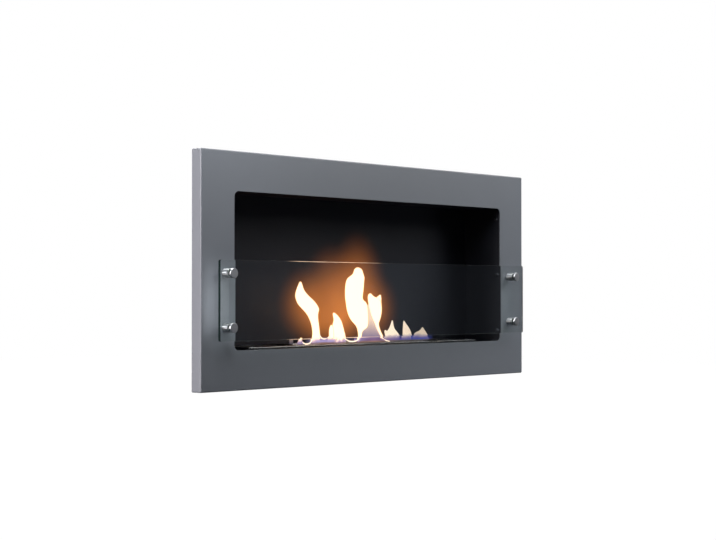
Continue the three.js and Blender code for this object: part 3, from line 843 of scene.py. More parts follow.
def wrap_round(bm):
    """A UV map whose first direction runs along the Y axis, and outwards on a flat end."""
    length_of_map = 50 * MM
    layer = bm.loops.layers.uv.new("turned")
    for face in bm.faces:
        middle = face.calc_center_median()
        about = math.atan2(middle.z, middle.x)
        for loop in face.loops:
            point = loop.vert.co
            turn = math.atan2(point.z, point.x) - about
            turn = math.atan2(math.sin(turn), math.cos(turn))
            loop[layer].uv = (
                (point.y + math.hypot(point.x, point.z)) / length_of_map,
                (about + turn) / (2 * math.pi),
            )


def copy_into(target, source, matrix):
    """Adds a copy of the source mesh to the target, placed by the matrix."""
    mesh = bpy.data.meshes.new("part")
    source.to_mesh(mesh)
    mesh.transform(matrix)
    if matrix.determinant() < 0:
        mesh.flip_normals()
    target.from_mesh(mesh)
    bpy.data.meshes.remove(mesh)


def new_object(name, bm, finishes):
    """A named object, from a bmesh already in the part's frame."""
    mesh = bpy.data.meshes.new(name)
    bm.to_mesh(mesh)
    bm.free()
    for finish in finishes:
        mesh.materials.append(finish_of(finish))
    made = bpy.data.objects.new(name, mesh)
    bpy.context.scene.collection.objects.link(made)
    return made


def new_piece(name, bm, finishes, body, replaces=(), angle=35):
    """A piece on its body, sharp where its surface turns by more than the angle."""
    piece = new_object(name, bm, finishes)
    piece.data.shade_smooth()
    piece.data.set_sharp_from_angle(angle=math.radians(angle))
    if angle < 180:
        even = piece.modifiers.new("even_shading", "WEIGHTED_NORMAL")
        even.keep_sharp = True
    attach(piece, body)
    if replaces:
        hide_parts(*replaces)
    return piece


def middle(node):
    low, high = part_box(node)
    return (low + high) / 2


def spread(node):
    low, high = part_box(node)
    return high - low


# Turns a shape drawn in XY, facing +Z, so that it stands upright and faces the room.
UPRIGHT = Matrix.Rotation(QUARTER, 4, "X")


# ------------------------------------------------------------------ frame and firebox


class FIREPLACE_OT_front_frame(bpy.types.Operator):
    """Folds the grey front frame round its opening"""

    bl_idname = "fireplace.front_frame"
    bl_label = "Front Frame"

    def execute(self, context):
        sizes = settings("sizes")
        size, centre = spread("front_frame"), middle("front_frame")
        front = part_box("front_frame")[0].y
        collar, collar_centre = spread("opening_collar"), middle("opening_collar")
        opening = [side - 2 * sizes.collar_flange for side in (collar.x, collar.z)]
        bm = bmesh.new()
        outer = rectangle(bm, size.x, size.z)
        hole_centre = (0, collar_centre.z - centre.z)
        inner = rectangle(bm, *opening, sizes.opening_radius, sizes.corner_steps, hole_centre)
        holes = []
        for fixing in FIXINGS:
            place = middle(f"standoff_stud_{fixing}")
            holes += circle(
                bm, sizes.fixing_bore, (place.x, place.z - centre.z), sizes.hole_steps
            )
        fill(bm, outer + inner + holes)
        fold_rim(bm, outer, size.y, sizes.frame_bend, sizes.bend_steps)
        thicken(bm, sizes.frame_sheet)
        # The opening's front edge, between its face and its side.
        rim = [
            e for e in bm.edges
            if in_plane(e)
            and len(e.link_faces) == 2
            and e.calc_face_angle(0) > CORNER
            and all(
                abs(v.co.x) < opening[0] / 2 + MM
                and abs(v.co.y - hole_centre[1]) < opening[1] / 2 + MM
                for v in e.verts
            )
        ]
        round_edges(bm, rim, sizes.cut_edge, segments=2)
        bm.transform(Matrix.Translation((centre.x, front, centre.z)) @ UPRIGHT)
        new_piece(
            "front_frame_sheet", bm, [grey_powder_coat], "casing",
            ["front_frame"],
        )
        return {"FINISHED"}


class FIREPLACE_OT_opening_collar(bpy.types.Operator):
    """Folds the black collar that lines the opening"""

    bl_idname = "fireplace.opening_collar"
    bl_label = "Opening Collar"

    def execute(self, context):
        sizes = settings("sizes")
        size, centre = spread("opening_collar"), middle("opening_collar")
        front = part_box("opening_collar")[0].y
        opening = [side - 2 * sizes.collar_flange for side in (size.x, size.z)]
        bm = bmesh.new()
        outer = rectangle(
            bm, size.x, size.z, sizes.opening_radius + sizes.collar_flange, sizes.corner_steps
        )
        inner = rectangle(bm, *opening, sizes.opening_radius, sizes.corner_steps)
        fill(bm, outer + inner)
        fold_back(bm, inner, size.y)
        thicken(bm, sizes.collar_sheet)
        bm.transform(Matrix.Translation((centre.x, front, centre.z)) @ UPRIGHT)
        new_piece(
            "opening_collar_sheet", bm, [black_stove_paint], "casing",
            ["opening_collar"],
        )
        return {"FINISHED"}


def dome_profile(diameter, height, shank, depth):
    """A rivet from the middle of its dome to the middle of its shank's end."""
    # The dome takes up most of the head's height, over a low upright rim.
    rise = height * 0.8
    radius = (diameter ** 2 / 4 + rise ** 2) / (2 * rise)
    half = math.asin(min(1.0, diameter / 2 / radius))
    facets = 8
    turns = [half * i / facets for i in range(facets + 1)]
    arc = [(radius * math.sin(t), -height + radius * (1 - math.cos(t))) for t in turns]
    return arc + [(diameter / 2, 0), (shank / 2, 0), (shank / 2, depth), (0, depth)]


class FIREPLACE_OT_rivets(bpy.types.Operator):
    """Sets the rivets in the firebox's sides and on its back"""

    bl_idname = "fireplace.rivets"
    bl_label = "Rivets"

    def execute(self, context):
        sizes = settings("sizes")
        nodes = [f"side_rivet_{side}_{i}" for side in SIDES for i in (1, 2, 3)]
        head = spread(nodes[0])
        collar = spread("opening_collar").x / 2 - sizes.collar_flange
        bm = bmesh.new()
        for node in nodes:
            place = middle(node)
            outwards = 1 if place.x > 0 else -1
            low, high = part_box(node)
            inner = high.x if outwards < 0 else low.x
            # The head stands off the collar by the solids' seat gap.
            dome = abs(collar - abs(inner)) - 0.3 * MM
            rivet = spin_profile(
                dome_profile(head.z, dome, sizes.rivet_shank, head.x - dome), segments=32
            )
            turn = Matrix.Rotation(-outwards * QUARTER, 4, "Z")
            seat = Vector((inner + outwards * dome, place.y, place.z))
            copy_into(bm, rivet, Matrix.Translation(seat) @ turn)
            rivet.free()
        new_piece("side_rivets", bm, [blackened_steel], "casing", nodes)
        self.rear_rivets()
        return {"FINISHED"}

    def rear_rivets(self):
        """The blind rivets through the feet of both strips."""
        head, height, shank, depth = 7 * MM, 1.5 * MM, 4 * MM, 1 * MM
        from_edge = 6 * MM
        shares_of_strip = (0.07, 0.36, 0.64, 0.93)
        turn = Matrix.Rotation(math.pi, 4, "Z")
        bm = bmesh.new()
        rivet = spin_profile(dome_profile(head, height, shank, depth), segments=24)
        for strip in ("upper_hanger_strip", "lower_spacer_strip"):
            low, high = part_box(strip)
            for z in (low.z + from_edge, high.z - from_edge):
                for share in shares_of_strip:
                    seat = Vector((low.x + share * (high.x - low.x), low.y + height, z))
                    copy_into(bm, rivet, Matrix.Translation(seat) @ turn)
        rivet.free()
        new_piece("rear_rivets", bm, [zinc_plated_steel], "casing")


class FIREPLACE_OT_firebox(bpy.types.Operator):
    """Paints the firebox's sheets and dresses the strips and the well"""

    bl_idname = "fireplace.firebox"
    bl_label = "Firebox"

    def execute(self, context):
        finishes = {
            black_stove_paint: [
                f"firebox_{sheet}" for sheet in ("left_side", "right_side", "top", "floor", "back")
            ],
            galvanised_steel: ["upper_hanger_strip", "lower_spacer_strip", "burner_well"],
            brushed_stainless_steel: ["fuel_container"],
            heat_darkened_steel: [f"shutter_guide_{side}" for side in SIDES],
            zinc_plated_steel: [
                f"standoff_{kind}_{fixing}" for kind in ("stud", "nut") for fixing in FIXINGS
            ],
        }
        for finish, nodes in finishes.items():
            for node in nodes:
                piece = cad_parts[node]
                piece.data.materials.clear()
                piece.data.materials.append(finish_of(finish))
        return {"FINISHED"}


# ------------------------------------------------------------------ glass and fixings


class FIREPLACE_OT_glass_pane(bpy.types.Operator):
    """Cuts the glass pane, with its four holes and ground edges"""

    bl_idname = "fireplace.glass_pane"
    bl_label = "Glass Pane"

    def execute(self, context):
        sizes = settings("sizes")
        size, centre = spread("glass_pane"), middle("glass_pane")
        bm = bmesh.new()
        edges = rectangle(bm, size.x, size.z, sizes.glass_corner, sizes.corner_steps)
        for fixing in FIXINGS:
            place = middle(f"standoff_stud_{fixing}")
            edges += circle(
                bm, sizes.glass_hole, (place.x - centre.x, place.z - centre.z),
                2 * sizes.hole_steps,
            )
        made = bmesh.ops.extrude_face_region(bm, geom=fill(bm, edges))
        bmesh.ops.translate(bm, vec=(0, 0, size.y), verts=of_kind(made, bmesh.types.BMVert))
        bmesh.ops.recalc_face_normals(bm, faces=bm.faces)
        corners = [
            e for e in bm.edges
            if len(e.link_faces) == 2
            and abs(e.verts[0].co.z - e.verts[1].co.z) < TOUCH
            and e.calc_face_angle(0) > CORNER
        ]
        round_edges(bm, corners, sizes.glass_arris, segments=1)
        finishes = [clear_float_glass, polished_glass_edge, ground_glass_edge]
        for face in bm.faces:
            if abs(face.normal.z) > 0.99:
                finish = clear_float_glass
            elif abs(face.normal.x) < 0.05:
                finish = ground_glass_edge
            else:
                finish = polished_glass_edge
            face.material_index = finishes.index(finish)
        bm.transform(
            Matrix.Translation((centre.x, centre.y + size.y / 2, centre.z)) @ UPRIGHT
        )
        new_piece(
            "glass_sheet", bm, finishes, "casing", ["glass_pane"], angle=20
        )
        self.edge_light()
        return {"FINISHED"}

    @staticmethod
    def edge_light():
        """Beads of light along both front arrises."""
        # The beads are painted light: they glow by themselves in place of the flames' light on the
        # arrises.
        low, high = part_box("glass_pane")
        start, end = -290 * MM, 0
        bead, proud = 0.5 * MM, 0.05 * MM
        inwards = bead / 2 - proud
        bm = bmesh.new()
        for z in (low.z + inwards, high.z - inwards):
            place = ((start + end) / 2, low.y + inwards, z)
            bmesh.ops.create_cube(bm, size=1, matrix=scaled((end - start, bead, bead), place))
        piece = new_piece("glass_edge_light", bm, [painted_arris_light], "casing", angle=180)
        piece.visible_diffuse = False
        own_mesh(piece)


def ring_profile(bore, diameter, front, rear, chamfer):
    """A turned ring with both outer edges chamfered."""
    inner, outer = bore / 2, diameter / 2
    return [
        (inner, front), (outer - chamfer, front), (outer, front + chamfer),
        (outer, rear - chamfer), (outer - chamfer, rear), (inner, rear),
    ]


class FIREPLACE_OT_glass_fixings(bpy.types.Operator):
    """Turns the four barrels, caps and gaskets that hold the glass"""

    bl_idname = "fireplace.glass_fixings"
    bl_label = "Glass Fixings"

    def execute(self, context):
        for kind in ("barrel", "cap"):
            self.make(f"standoff_{kind}", kind, turned_stainless_steel, "stainless_steel")
        for kind in ("rear_gasket", "front_gasket"):
            self.make(kind, "gasket", clear_silicone, "clear_silicone")
        return {"FINISHED"}

    def make(self, prefix, kind, finish, slot):
        """One barrel, cap or gasket at each of the four fixings."""
        sizes = settings("sizes")
        for fixing in FIXINGS:
            node = f"{prefix}_{fixing}"
            low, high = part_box(node)
            centre = (low + high) / 2
            diameter = high.x - low.x
            if kind == "cap":
                profile = self.cap_profile(diameter, low.y, high.y)
            else:
                chamfer = sizes.barrel_chamfer if kind == "barrel" else sizes.gasket_chamfer
                profile = ring_profile(sizes.fixing_bore, diameter, low.y, high.y, chamfer)
            bm = spin_profile(profile, sizes.turned_steps, bore=kind != "cap")
            wrap_round(bm)
            finishes = [finish]
            if kind == "cap":
                finishes.append(faced_stainless_steel)
                for face in bm.faces:
                    face.material_index = int(face.normal.y < -0.9)
            bmesh.ops.translate(bm, vec=(centre.x, 0, centre.z), verts=bm.verts)
            new_piece(f"{node}_turned", bm, finishes, "casing", [node])

    @staticmethod
    def cap_profile(diameter, front, rear):
        """A cap with a round edge, and the stem that goes through the pane."""
        edge = settings("sizes").cap_edge
        clearance, thickness = 0.3 * MM, 3.5 * MM
        stem = settings("sizes").fixing_bore / 2 - clearance
        seat = front + thickness
        outer = diameter / 2
        facets = 6
        turns = [QUARTER * i / facets for i in range(facets + 1)]
        arc = [
            (outer - edge + edge * math.sin(t), front + edge - edge * math.cos(t)) for t in turns
        ]
        return [(0, front), *arc, (outer, seat), (stem, seat), (stem, rear), (0, rear)]


# ------------------------------------------------------------------ burner


class FIREPLACE_OT_burner_deck(bpy.types.Operator):
    """Folds the burner's deck, with a lip turned down round the flame slot"""

    bl_idname = "fireplace.burner_deck"
    bl_label = "Burner Deck"

    def execute(self, context):
        sizes = settings("sizes")
        size, centre = spread("burner_deck"), middle("burner_deck")
        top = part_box("burner_deck")[1].z
        slot_length, slot_width, slot_middle = slot_of_burner()
        # Just under half the width, so that a short straight is left at each end.
        slot_radius = slot_width / 2 - 0.1 * MM
        lip_bend, lip_steps = 0.8 * MM, 3
        bm = bmesh.new()
        outer = rectangle(bm, size.x, size.y)
        inner = rectangle(
            bm, slot_length, slot_width, slot_radius, sizes.corner_steps,
            (0, slot_middle - centre.y),
        )
        fill(bm, outer + inner)
        fold_rim(bm, outer, size.z, sizes.deck_bend, sizes.bend_steps)
        slot_rim = [e for e in bm.edges if len(e.link_faces) == 1 and in_plane(e)]
        fold_back(bm, slot_rim, sizes.slot_lip)
        round_edges(bm, [e for e in slot_rim if e.is_valid], lip_bend, lip_steps)
        thicken(bm, sizes.deck_sheet)
        bm.transform(Matrix.Translation((centre.x, centre.y, top)))
        new_piece(
            "burner_deck_sheet", bm, [heat_darkened_steel], "burner",
            ["burner_deck"],
        )
        return {"FINISHED"}


def slot_of_burner():
    """The flame slot's length, width and middle in depth, from the open shutter's plate."""
    overlap_of_ends, overlap_of_sides, gap_when_open = 10 * MM, 2.5 * MM, 2 * MM
    low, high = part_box("shutter_plate")
    slot_length = high.x - low.x - 2 * overlap_of_ends
    slot_width = high.y - low.y - 2 * overlap_of_sides
    return slot_length, slot_width, low.y - gap_when_open - slot_width / 2


class FIREPLACE_OT_shutter(bpy.types.Operator):
    """Folds the shutter with its push tab"""

    bl_idname = "fireplace.shutter"
    bl_label = "Shutter"

    def execute(self, context):
        sizes = settings("sizes")
        low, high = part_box("shutter_plate")
        sheet, broken_edge = 1.2 * MM, 0.25 * MM
        tab_width, tab_middle, tab_radius = 10 * MM, low.x + 32 * MM, 2.5 * MM
        bm = bmesh.new()
        plate = rectangle(bm, high.x - low.x, high.y - low.y, centre=(0, (low.y + high.y) / 2))
        bmesh.ops.holes_fill(bm, edges=plate, sides=4)
        for x in (tab_middle - tab_width / 2, tab_middle + tab_width / 2):
            bmesh.ops.bisect_plane(
                bm, geom=bm.verts[:] + bm.edges[:] + bm.faces[:],
                plane_co=(x, 0, 0), plane_no=(1, 0, 0),
            )
        fold = [
            e for e in bm.edges
            if all(abs(v.co.y - low.y) < TOUCH for v in e.verts)
            and abs((e.verts[0].co.x + e.verts[1].co.x) / 2 - tab_middle) < tab_width / 2
        ]
        made = bmesh.ops.extrude_edge_only(bm, edges=fold)
        tips = of_kind(made, bmesh.types.BMVert)
        bmesh.ops.translate(bm, vec=(0, 0, sizes.tab_height - sheet), verts=tips)
        bmesh.ops.bevel(
            bm, geom=tips, offset=tab_radius, segments=5, profile=0.5,
            affect="VERTICES", clamp_overlap=True, material=-1,
        )
        bmesh.ops.recalc_face_normals(bm, faces=bm.faces)
        if max(bm.faces, key=lambda f: f.calc_area()).normal.z < 0:
            bmesh.ops.reverse_faces(bm, faces=bm.faces)
        bmesh.ops.solidify(bm, geom=bm.faces[:], thickness=sheet)
        bmesh.ops.recalc_face_normals(bm, faces=bm.faces)
        bm.transform(Matrix.Translation((0, 0, low.z + sheet)))
        piece = new_piece(
            "shutter_sheet", bm, [brushed_stainless_steel], "shutter",
            ["shutter_plate"],
        )
        bevel = piece.modifiers.new("broken_edges", "BEVEL")
        bevel.width, bevel.segments = broken_edge, 2
        return {"FINISHED"}


class FIREPLACE_OT_wool(bpy.types.Operator):
    """Packs the ceramic wool into the fuel container"""

    bl_idname = "fireplace.wool"
    bl_label = "Ceramic Wool"

    def execute(self, context):
        size, centre = spread("wool_core"), middle("wool_core")
        edge_radius, edge_steps = 3 * MM, 3
        # Lumps some 6 and 2.4 mm across move the surface, mostly inwards.
        coarse, fine, depth = 160, 420, 1.2 * MM
        bm = bmesh.new()
        bmesh.ops.create_cube(bm, size=1, matrix=scaled(size, centre))
        round_edges(bm, bm.edges[:], edge_radius, edge_steps)
        cut_along(bm, axis=0, shortest=100 * MM, cuts=90)
        cut_along(bm, axis=1, shortest=20 * MM, cuts=10)
        for vert in bm.verts:
            lump = noise.noise(vert.co * coarse) * 0.5 + noise.noise(vert.co * fine) * 0.3
            vert.co -= vert.normal * depth * (0.5 + lump)
        new_piece(
            "wool_pad", bm, [ceramic_wool], "burner", ["wool_core"], angle=180
        )
        return {"FINISHED"}


# ------------------------------------------------------------------ flames

# Each flame is a list of (height above the deck, left, right) in millimetres, from its
# base to its tip; left and right are measured from the middle of the slot.
TALL_FLAMES = (
    # The broad flame at the left end.
    (
        (1, -141, -114), (5, -141, -114), (10, -139, -117), (18.5, -137.5, -118.5),
        (28.5, -138, -119.5), (40, -142, -122), (48.5, -147.5, -123.5), (56, -154, -123),
        (62, -162, -119.5), (66.5, -168.5, -122), (71.5, -175, -126), (77.5, -179.5, -132.5),
        (84, -182.5, -143), (89, -183, -150.5), (96, -180.5, -159.5), (102.5, -177, -163),
        (108.5, -173, -165.5), (112, -170.5, -168),
    ),
    # The short flame beside it, and the tongue on its left.
    (
        (1, -96, -44), (5, -97, -45), (10, -88, -47.5), (20, -88.5, -51.5), (30, -85.5, -55),
        (38, -82.5, -58.5), (43, -80, -61.5), (49, -82, -67.5), (53, -83, -73), (56, -82.5, -79),
    ),
    (
        (1, -98, -78), (10, -93, -80), (18, -93.5, -80), (26.5, -93, -82), (31.5, -90.5, -84),
        (34, -88.5, -86.5),
    ),
    # The tallest flame, in the middle.
    (
        (1, -14, -2), (5, -13, -3), (12, -12.5, -4.5), (20, -13.5, -3), (24, -15, 2),
        (28, -16.5, 12.5), (33.5, -21, 14.5), (39.5, -30.5, 15), (47.5, -38, 15),
        (55.5, -42.5, 14.5), (63, -45.5, 13.5), (71, -47, 11.5), (75.5, -47.5, 9), (79, -49, -1),
        (86.5, -50, -1), (97, -50, 1.5), (107, -49, 2.5), (115, -46, 3.5), (119, -43.5, 4),
        (122.5, -36.5, 4), (126.5, -28.5, 1.5), (129, -26.5, 0), (133.5, -25, -1.5),
        (136.5, -23, -4), (139, -17, -12),
    ),
    # The flame right of it, which leans over to the left, and its second tip.
    (
        (1, 62, 69), (5, 57, 63), (10, 51, 58), (15, 47, 54.5), (20.5, 42, 50.5), (26, 38.5, 47.5),
        (31, 36, 45.5), (36, 33, 44.5), (40, 30.5, 47.5), (47, 25, 51), (55, 21, 53),
        (62.5, 19, 53.5), (70.5, 17, 53), (78.5, 14.5, 52), (83.5, 14.5, 38), (85.5, 14.5, 30.5),
        (88.5, 15.5, 26), (91, 19, 22.5),
    ),
    (
        (60, 30, 53), (73, 26, 52.5), (78.5, 28, 52), (83.5, 38, 52), (85.5, 43.5, 51.5),
        (88.5, 48.5, 50.5),
    ),
    # The wisp at the slot's left end.
    (
        (0.8, -177, -154), (3, -175, -158), (6, -172.5, -161.5), (9, -170.5, -164),
        (12.5, -168.5, -166.5),
    ),
)
LOW_FLAMES = (
    # The small flame at the right tall one's foot, and the tongue on its left.
    (
        (2, 66, 110), (7.5, 65.5, 110), (11.5, 66, 107), (15.5, 66.5, 102), (20, 69, 97.5),
        (23, 73, 93), (28, 77.5, 89.5), (34, 80.5, 88), (41, 84, 86),
    ),
    (
        (2, 62, 78), (9, 64, 76), (13, 63.5, 76), (17.5, 62, 73.5), (20.5, 61.5, 69),
        (22.5, 63, 65.5),
    ),
    # The narrow low flame.
    (
        (1, 116, 146), (4, 115.5, 145), (9, 115.5, 143.5), (16, 116, 141.5), (22, 116, 138),
        (28.5, 117, 132), (33.5, 117, 125.5), (39.5, 118.5, 120.5),
    ),
    # The long low flame at the right end.
    (
        (1, 152, 205), (5, 149, 198), (10, 148.5, 193), (14, 150.5, 189), (16.5, 156, 186.5),
        (18.5, 165.5, 184.5), (22.5, 171.5, 180.5), (26, 175, 177),
    ),
)
# The thin sheet of flame between the tallest flame and the one right of it.
VEIL = (
    (6, -7, 56), (12, -7, 53), (18, -6, 48.5), (25, -2, 43), (31.5, 8, 38), (39.5, 12, 32),
    (47, 13, 27), (55, 12.5, 23), (63, 12, 20.5), (71, 11, 17),
)

# Hems of the flames along the slot: points (across, above the deck) in millimetres.
HEMS = (
    ((-169.5, 5), (-164, 1.5), (-157, 1), (-149.5, 2.5), (-145, 7), (-144, 12)),
    ((-128, 19), (-125.5, 14), (-120.5, 10.5), (-113, 9), (-106, 10), (-101.5, 14)),
    ((-62, 15), (-56.5, 9), (-49, 5), (-40, 3), (-28, 3), (-20, 5.5), (-16.5, 9.5), (-15.5, 14)),
    ((38, 22), (40, 15), (48, 8), (60, 2.8), (72, 1)),
)

# Painted glow round the tall flames, which stands in for their halo: (across, up, half width,
# half height) in millimetres, from the part's origin at the wall hanger, then its share of the
# light.
PAINTED_GLOWS = (
    (-152, -158, 80, 80, 0.85),
    (-120, -195, 66, 60, 0.5),
    (-80, -144, 92, 108, 0.85),
    (-66, -190, 74, 66, 0.65),
    (-50, -178, 44, 60, 0.3),
    (-14, -134, 82, 122, 0.95),
    (34, -168, 66, 80, 0.7),
)
# Half the depth of each of them, in millimetres.
PAINTED_GLOW_DEPTH = 36


def join_rings(bm, segments, radius, places):
    """Joins rings, one at each place, into a body that is closed at its first and last."""
    before = []
    for i, place in enumerate(places):
        ring = bmesh.ops.create_circle(
            bm, segments=segments, radius=radius, matrix=place,
            cap_ends=i in (0, len(places) - 1),
        )["verts"]
        edges = {e for v in ring for e in v.link_edges if all(p in ring for p in e.verts)}
        if before:
            bmesh.ops.bridge_loops(bm, edges=before + list(edges))
        before = list(edges)


def loft(bm, rows, share, grow, base, plane):
    """Lofts one flame through level ovals, closed at its base and its tip."""
    # Limits of a flame's half depth and of its height over the deck, in millimetres.
    thinnest, deepest, lowest = 0.4, 8.5, 0.4
    # The outline was read at an angle, from where a flame's depth widens it. What is left of
    # its half width is at least this share.
    slant, narrowest = 1.15, 0.4
    places = []
    for i, (height, left, right) in enumerate(rows):
        wide = (right - left) / 2
        deep = min(deepest, max(thinnest, wide * share))
        wide = math.sqrt(max(wide ** 2 - (slant * deep) ** 2, (narrowest * wide) ** 2))
        rise = -grow if i == 0 else grow if i == len(rows) - 1 else 0
        up = base + max(height * MM + rise, lowest * MM)
        places.append(scaled(
            (wide * MM + grow, deep * MM + grow, 1), ((left + right) / 2 * MM, plane, up)
        ))
    join_rings(bm, segments=20, radius=1, places=places)


def hem(bm, points, base, plane):
    """A thin bright line where the foot of one flame runs into the next."""
    radius, forwards = 1.25 * MM, 7.5 * MM
    along_slot = Matrix.Rotation(QUARTER, 4, "Y")
    join_rings(bm, 8, radius, [
        scaled((1, 1, 1), (x * MM, plane - forwards, base + z * MM), along_slot)
        for x, z in points
    ])


class FIREPLACE_OT_flames(bpy.types.Operator):
    """Lights the flames over the slot"""

    bl_idname = "fireplace.flames"
    bl_label = "Flames"

    def execute(self, context):
        flames = settings("flames")
        deck_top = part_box("burner_deck")[1].z
        plane = slot_of_burner()[2]
        anchor = (0, plane, deck_top)
        depth_of_veil = 0.12
        for name, shapes, finish, grow, share in (
            ("flame_cores", TALL_FLAMES, white_hot_flame, 0, flames.depth_share),
            ("flame_rims", TALL_FLAMES, orange_flame_rim, flames.rim, flames.depth_share),
            ("low_flames", LOW_FLAMES, pale_flame, 0, flames.depth_share),
            ("flame_veil", [VEIL], thin_flame_veil, 0, depth_of_veil),
            ("flame_hems", HEMS, bright_flame_hem, 0, 0),
        ):
            bm = bmesh.new()
            for shape in shapes:
                if shapes is HEMS:
                    hem(bm, shape, deck_top, plane)
                else:
                    loft(bm, shape, share, grow, deck_top, plane)
            bmesh.ops.recalc_face_normals(bm, faces=bm.faces)
            piece = new_piece(name, bm, [finish], "burner", angle=180)
            piece.visible_diffuse = False
            smooth = piece.modifiers.new("smooth", "SUBSURF")
            smooth.levels = smooth.render_levels = 2
            self.apply(piece)
            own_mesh(piece)
        self.glow(deck_top, plane, anchor)
        self.base(deck_top, plane, anchor)
        return {"FINISHED"}

    def glow(self, deck_top, plane, anchor):
        """The painted glow round the tall flames."""
        low = min(x - radius for x, z, radius, height, share in PAINTED_GLOWS) * MM
        high = max(x + radius for x, z, radius, height, share in PAINTED_GLOWS) * MM
        top = max(z + height for x, z, radius, height, share in PAINTED_GLOWS) * MM
        bottom = deck_top + 11 * MM
        size = (high - low, 2 * PAINTED_GLOW_DEPTH * MM, top - bottom)
        bm = bmesh.new()
        bmesh.ops.create_cube(
            bm, size=1, matrix=scaled(size, ((low + high) / 2, plane, (top + bottom) / 2))
        )
        piece = new_piece("painted_flame_glow", bm, [painted_glow_volume], "burner", angle=180)
        piece.visible_diffuse = False
        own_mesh(piece)

    def base(self, deck_top, plane, anchor):
        """The low blue band over the slot."""
        start, end = -153 * MM, 202 * MM
        width, height = 13 * MM, 15 * MM
        # Just clear of the deck, and a little in front of the slot's middle.
        centre = ((start + end) / 2, plane - 1 * MM, deck_top + height / 2 + 0.4 * MM)
        bm = bmesh.new()
        bmesh.ops.create_cube(bm, size=1, matrix=scaled((end - start, width, height), centre))
        round_edges(bm, bm.edges[:], radius=5 * MM, segments=5)
        cut_along(bm, axis=0, shortest=100 * MM, cuts=70)
        for vert in bm.verts:
            # The band's top waves up and down, and the whole of it to and fro.
            share = max(0.0, (vert.co.z - deck_top) / height)
            vert.co.z += share * 3 * MM * noise.noise((vert.co.x * 30, 0.7, 3.1))
            vert.co.y += 1.5 * MM * noise.noise((vert.co.x * 24, 5.7, 1.1))
            # On the right the band widens and hides the feet of the low flames.
            widening = min(1, max(0, (vert.co.x - 30 * MM) / (50 * MM)))
            vert.co.y += 0.5 * (vert.co.y - plane) * widening
        piece = new_piece("flame_base", bm, [blue_flame_base], "burner", angle=180)
        piece.visible_diffuse = piece.visible_glossy = False
        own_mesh(piece)

    @staticmethod
    def apply(piece):
        """Makes the smoothed mesh the piece's own."""
        graph = bpy.context.evaluated_depsgraph_get()
        mesh = bpy.data.meshes.new_from_object(piece.evaluated_get(graph))
        piece.modifiers.clear()
        piece.data = mesh


# ------------------------------------------------------------------ studio


def area_lamp(name, power, size, place, target, tint="#ffffff"):
    """A round lamp that looks at the target, with its power in watts."""
    data = bpy.data.lights.new(name, "AREA")
    data.shape = "DISK"
    data.size = size
    data.energy = power
    data.color = linear(tint)[:3]
    lamp = bpy.data.objects.new(name, data)
    bpy.context.scene.collection.objects.link(lamp)
    lamp.location = place
    lamp.rotation_euler = (Vector(target) - Vector(place)).to_track_quat("-Z", "Y").to_euler()
    return lamp


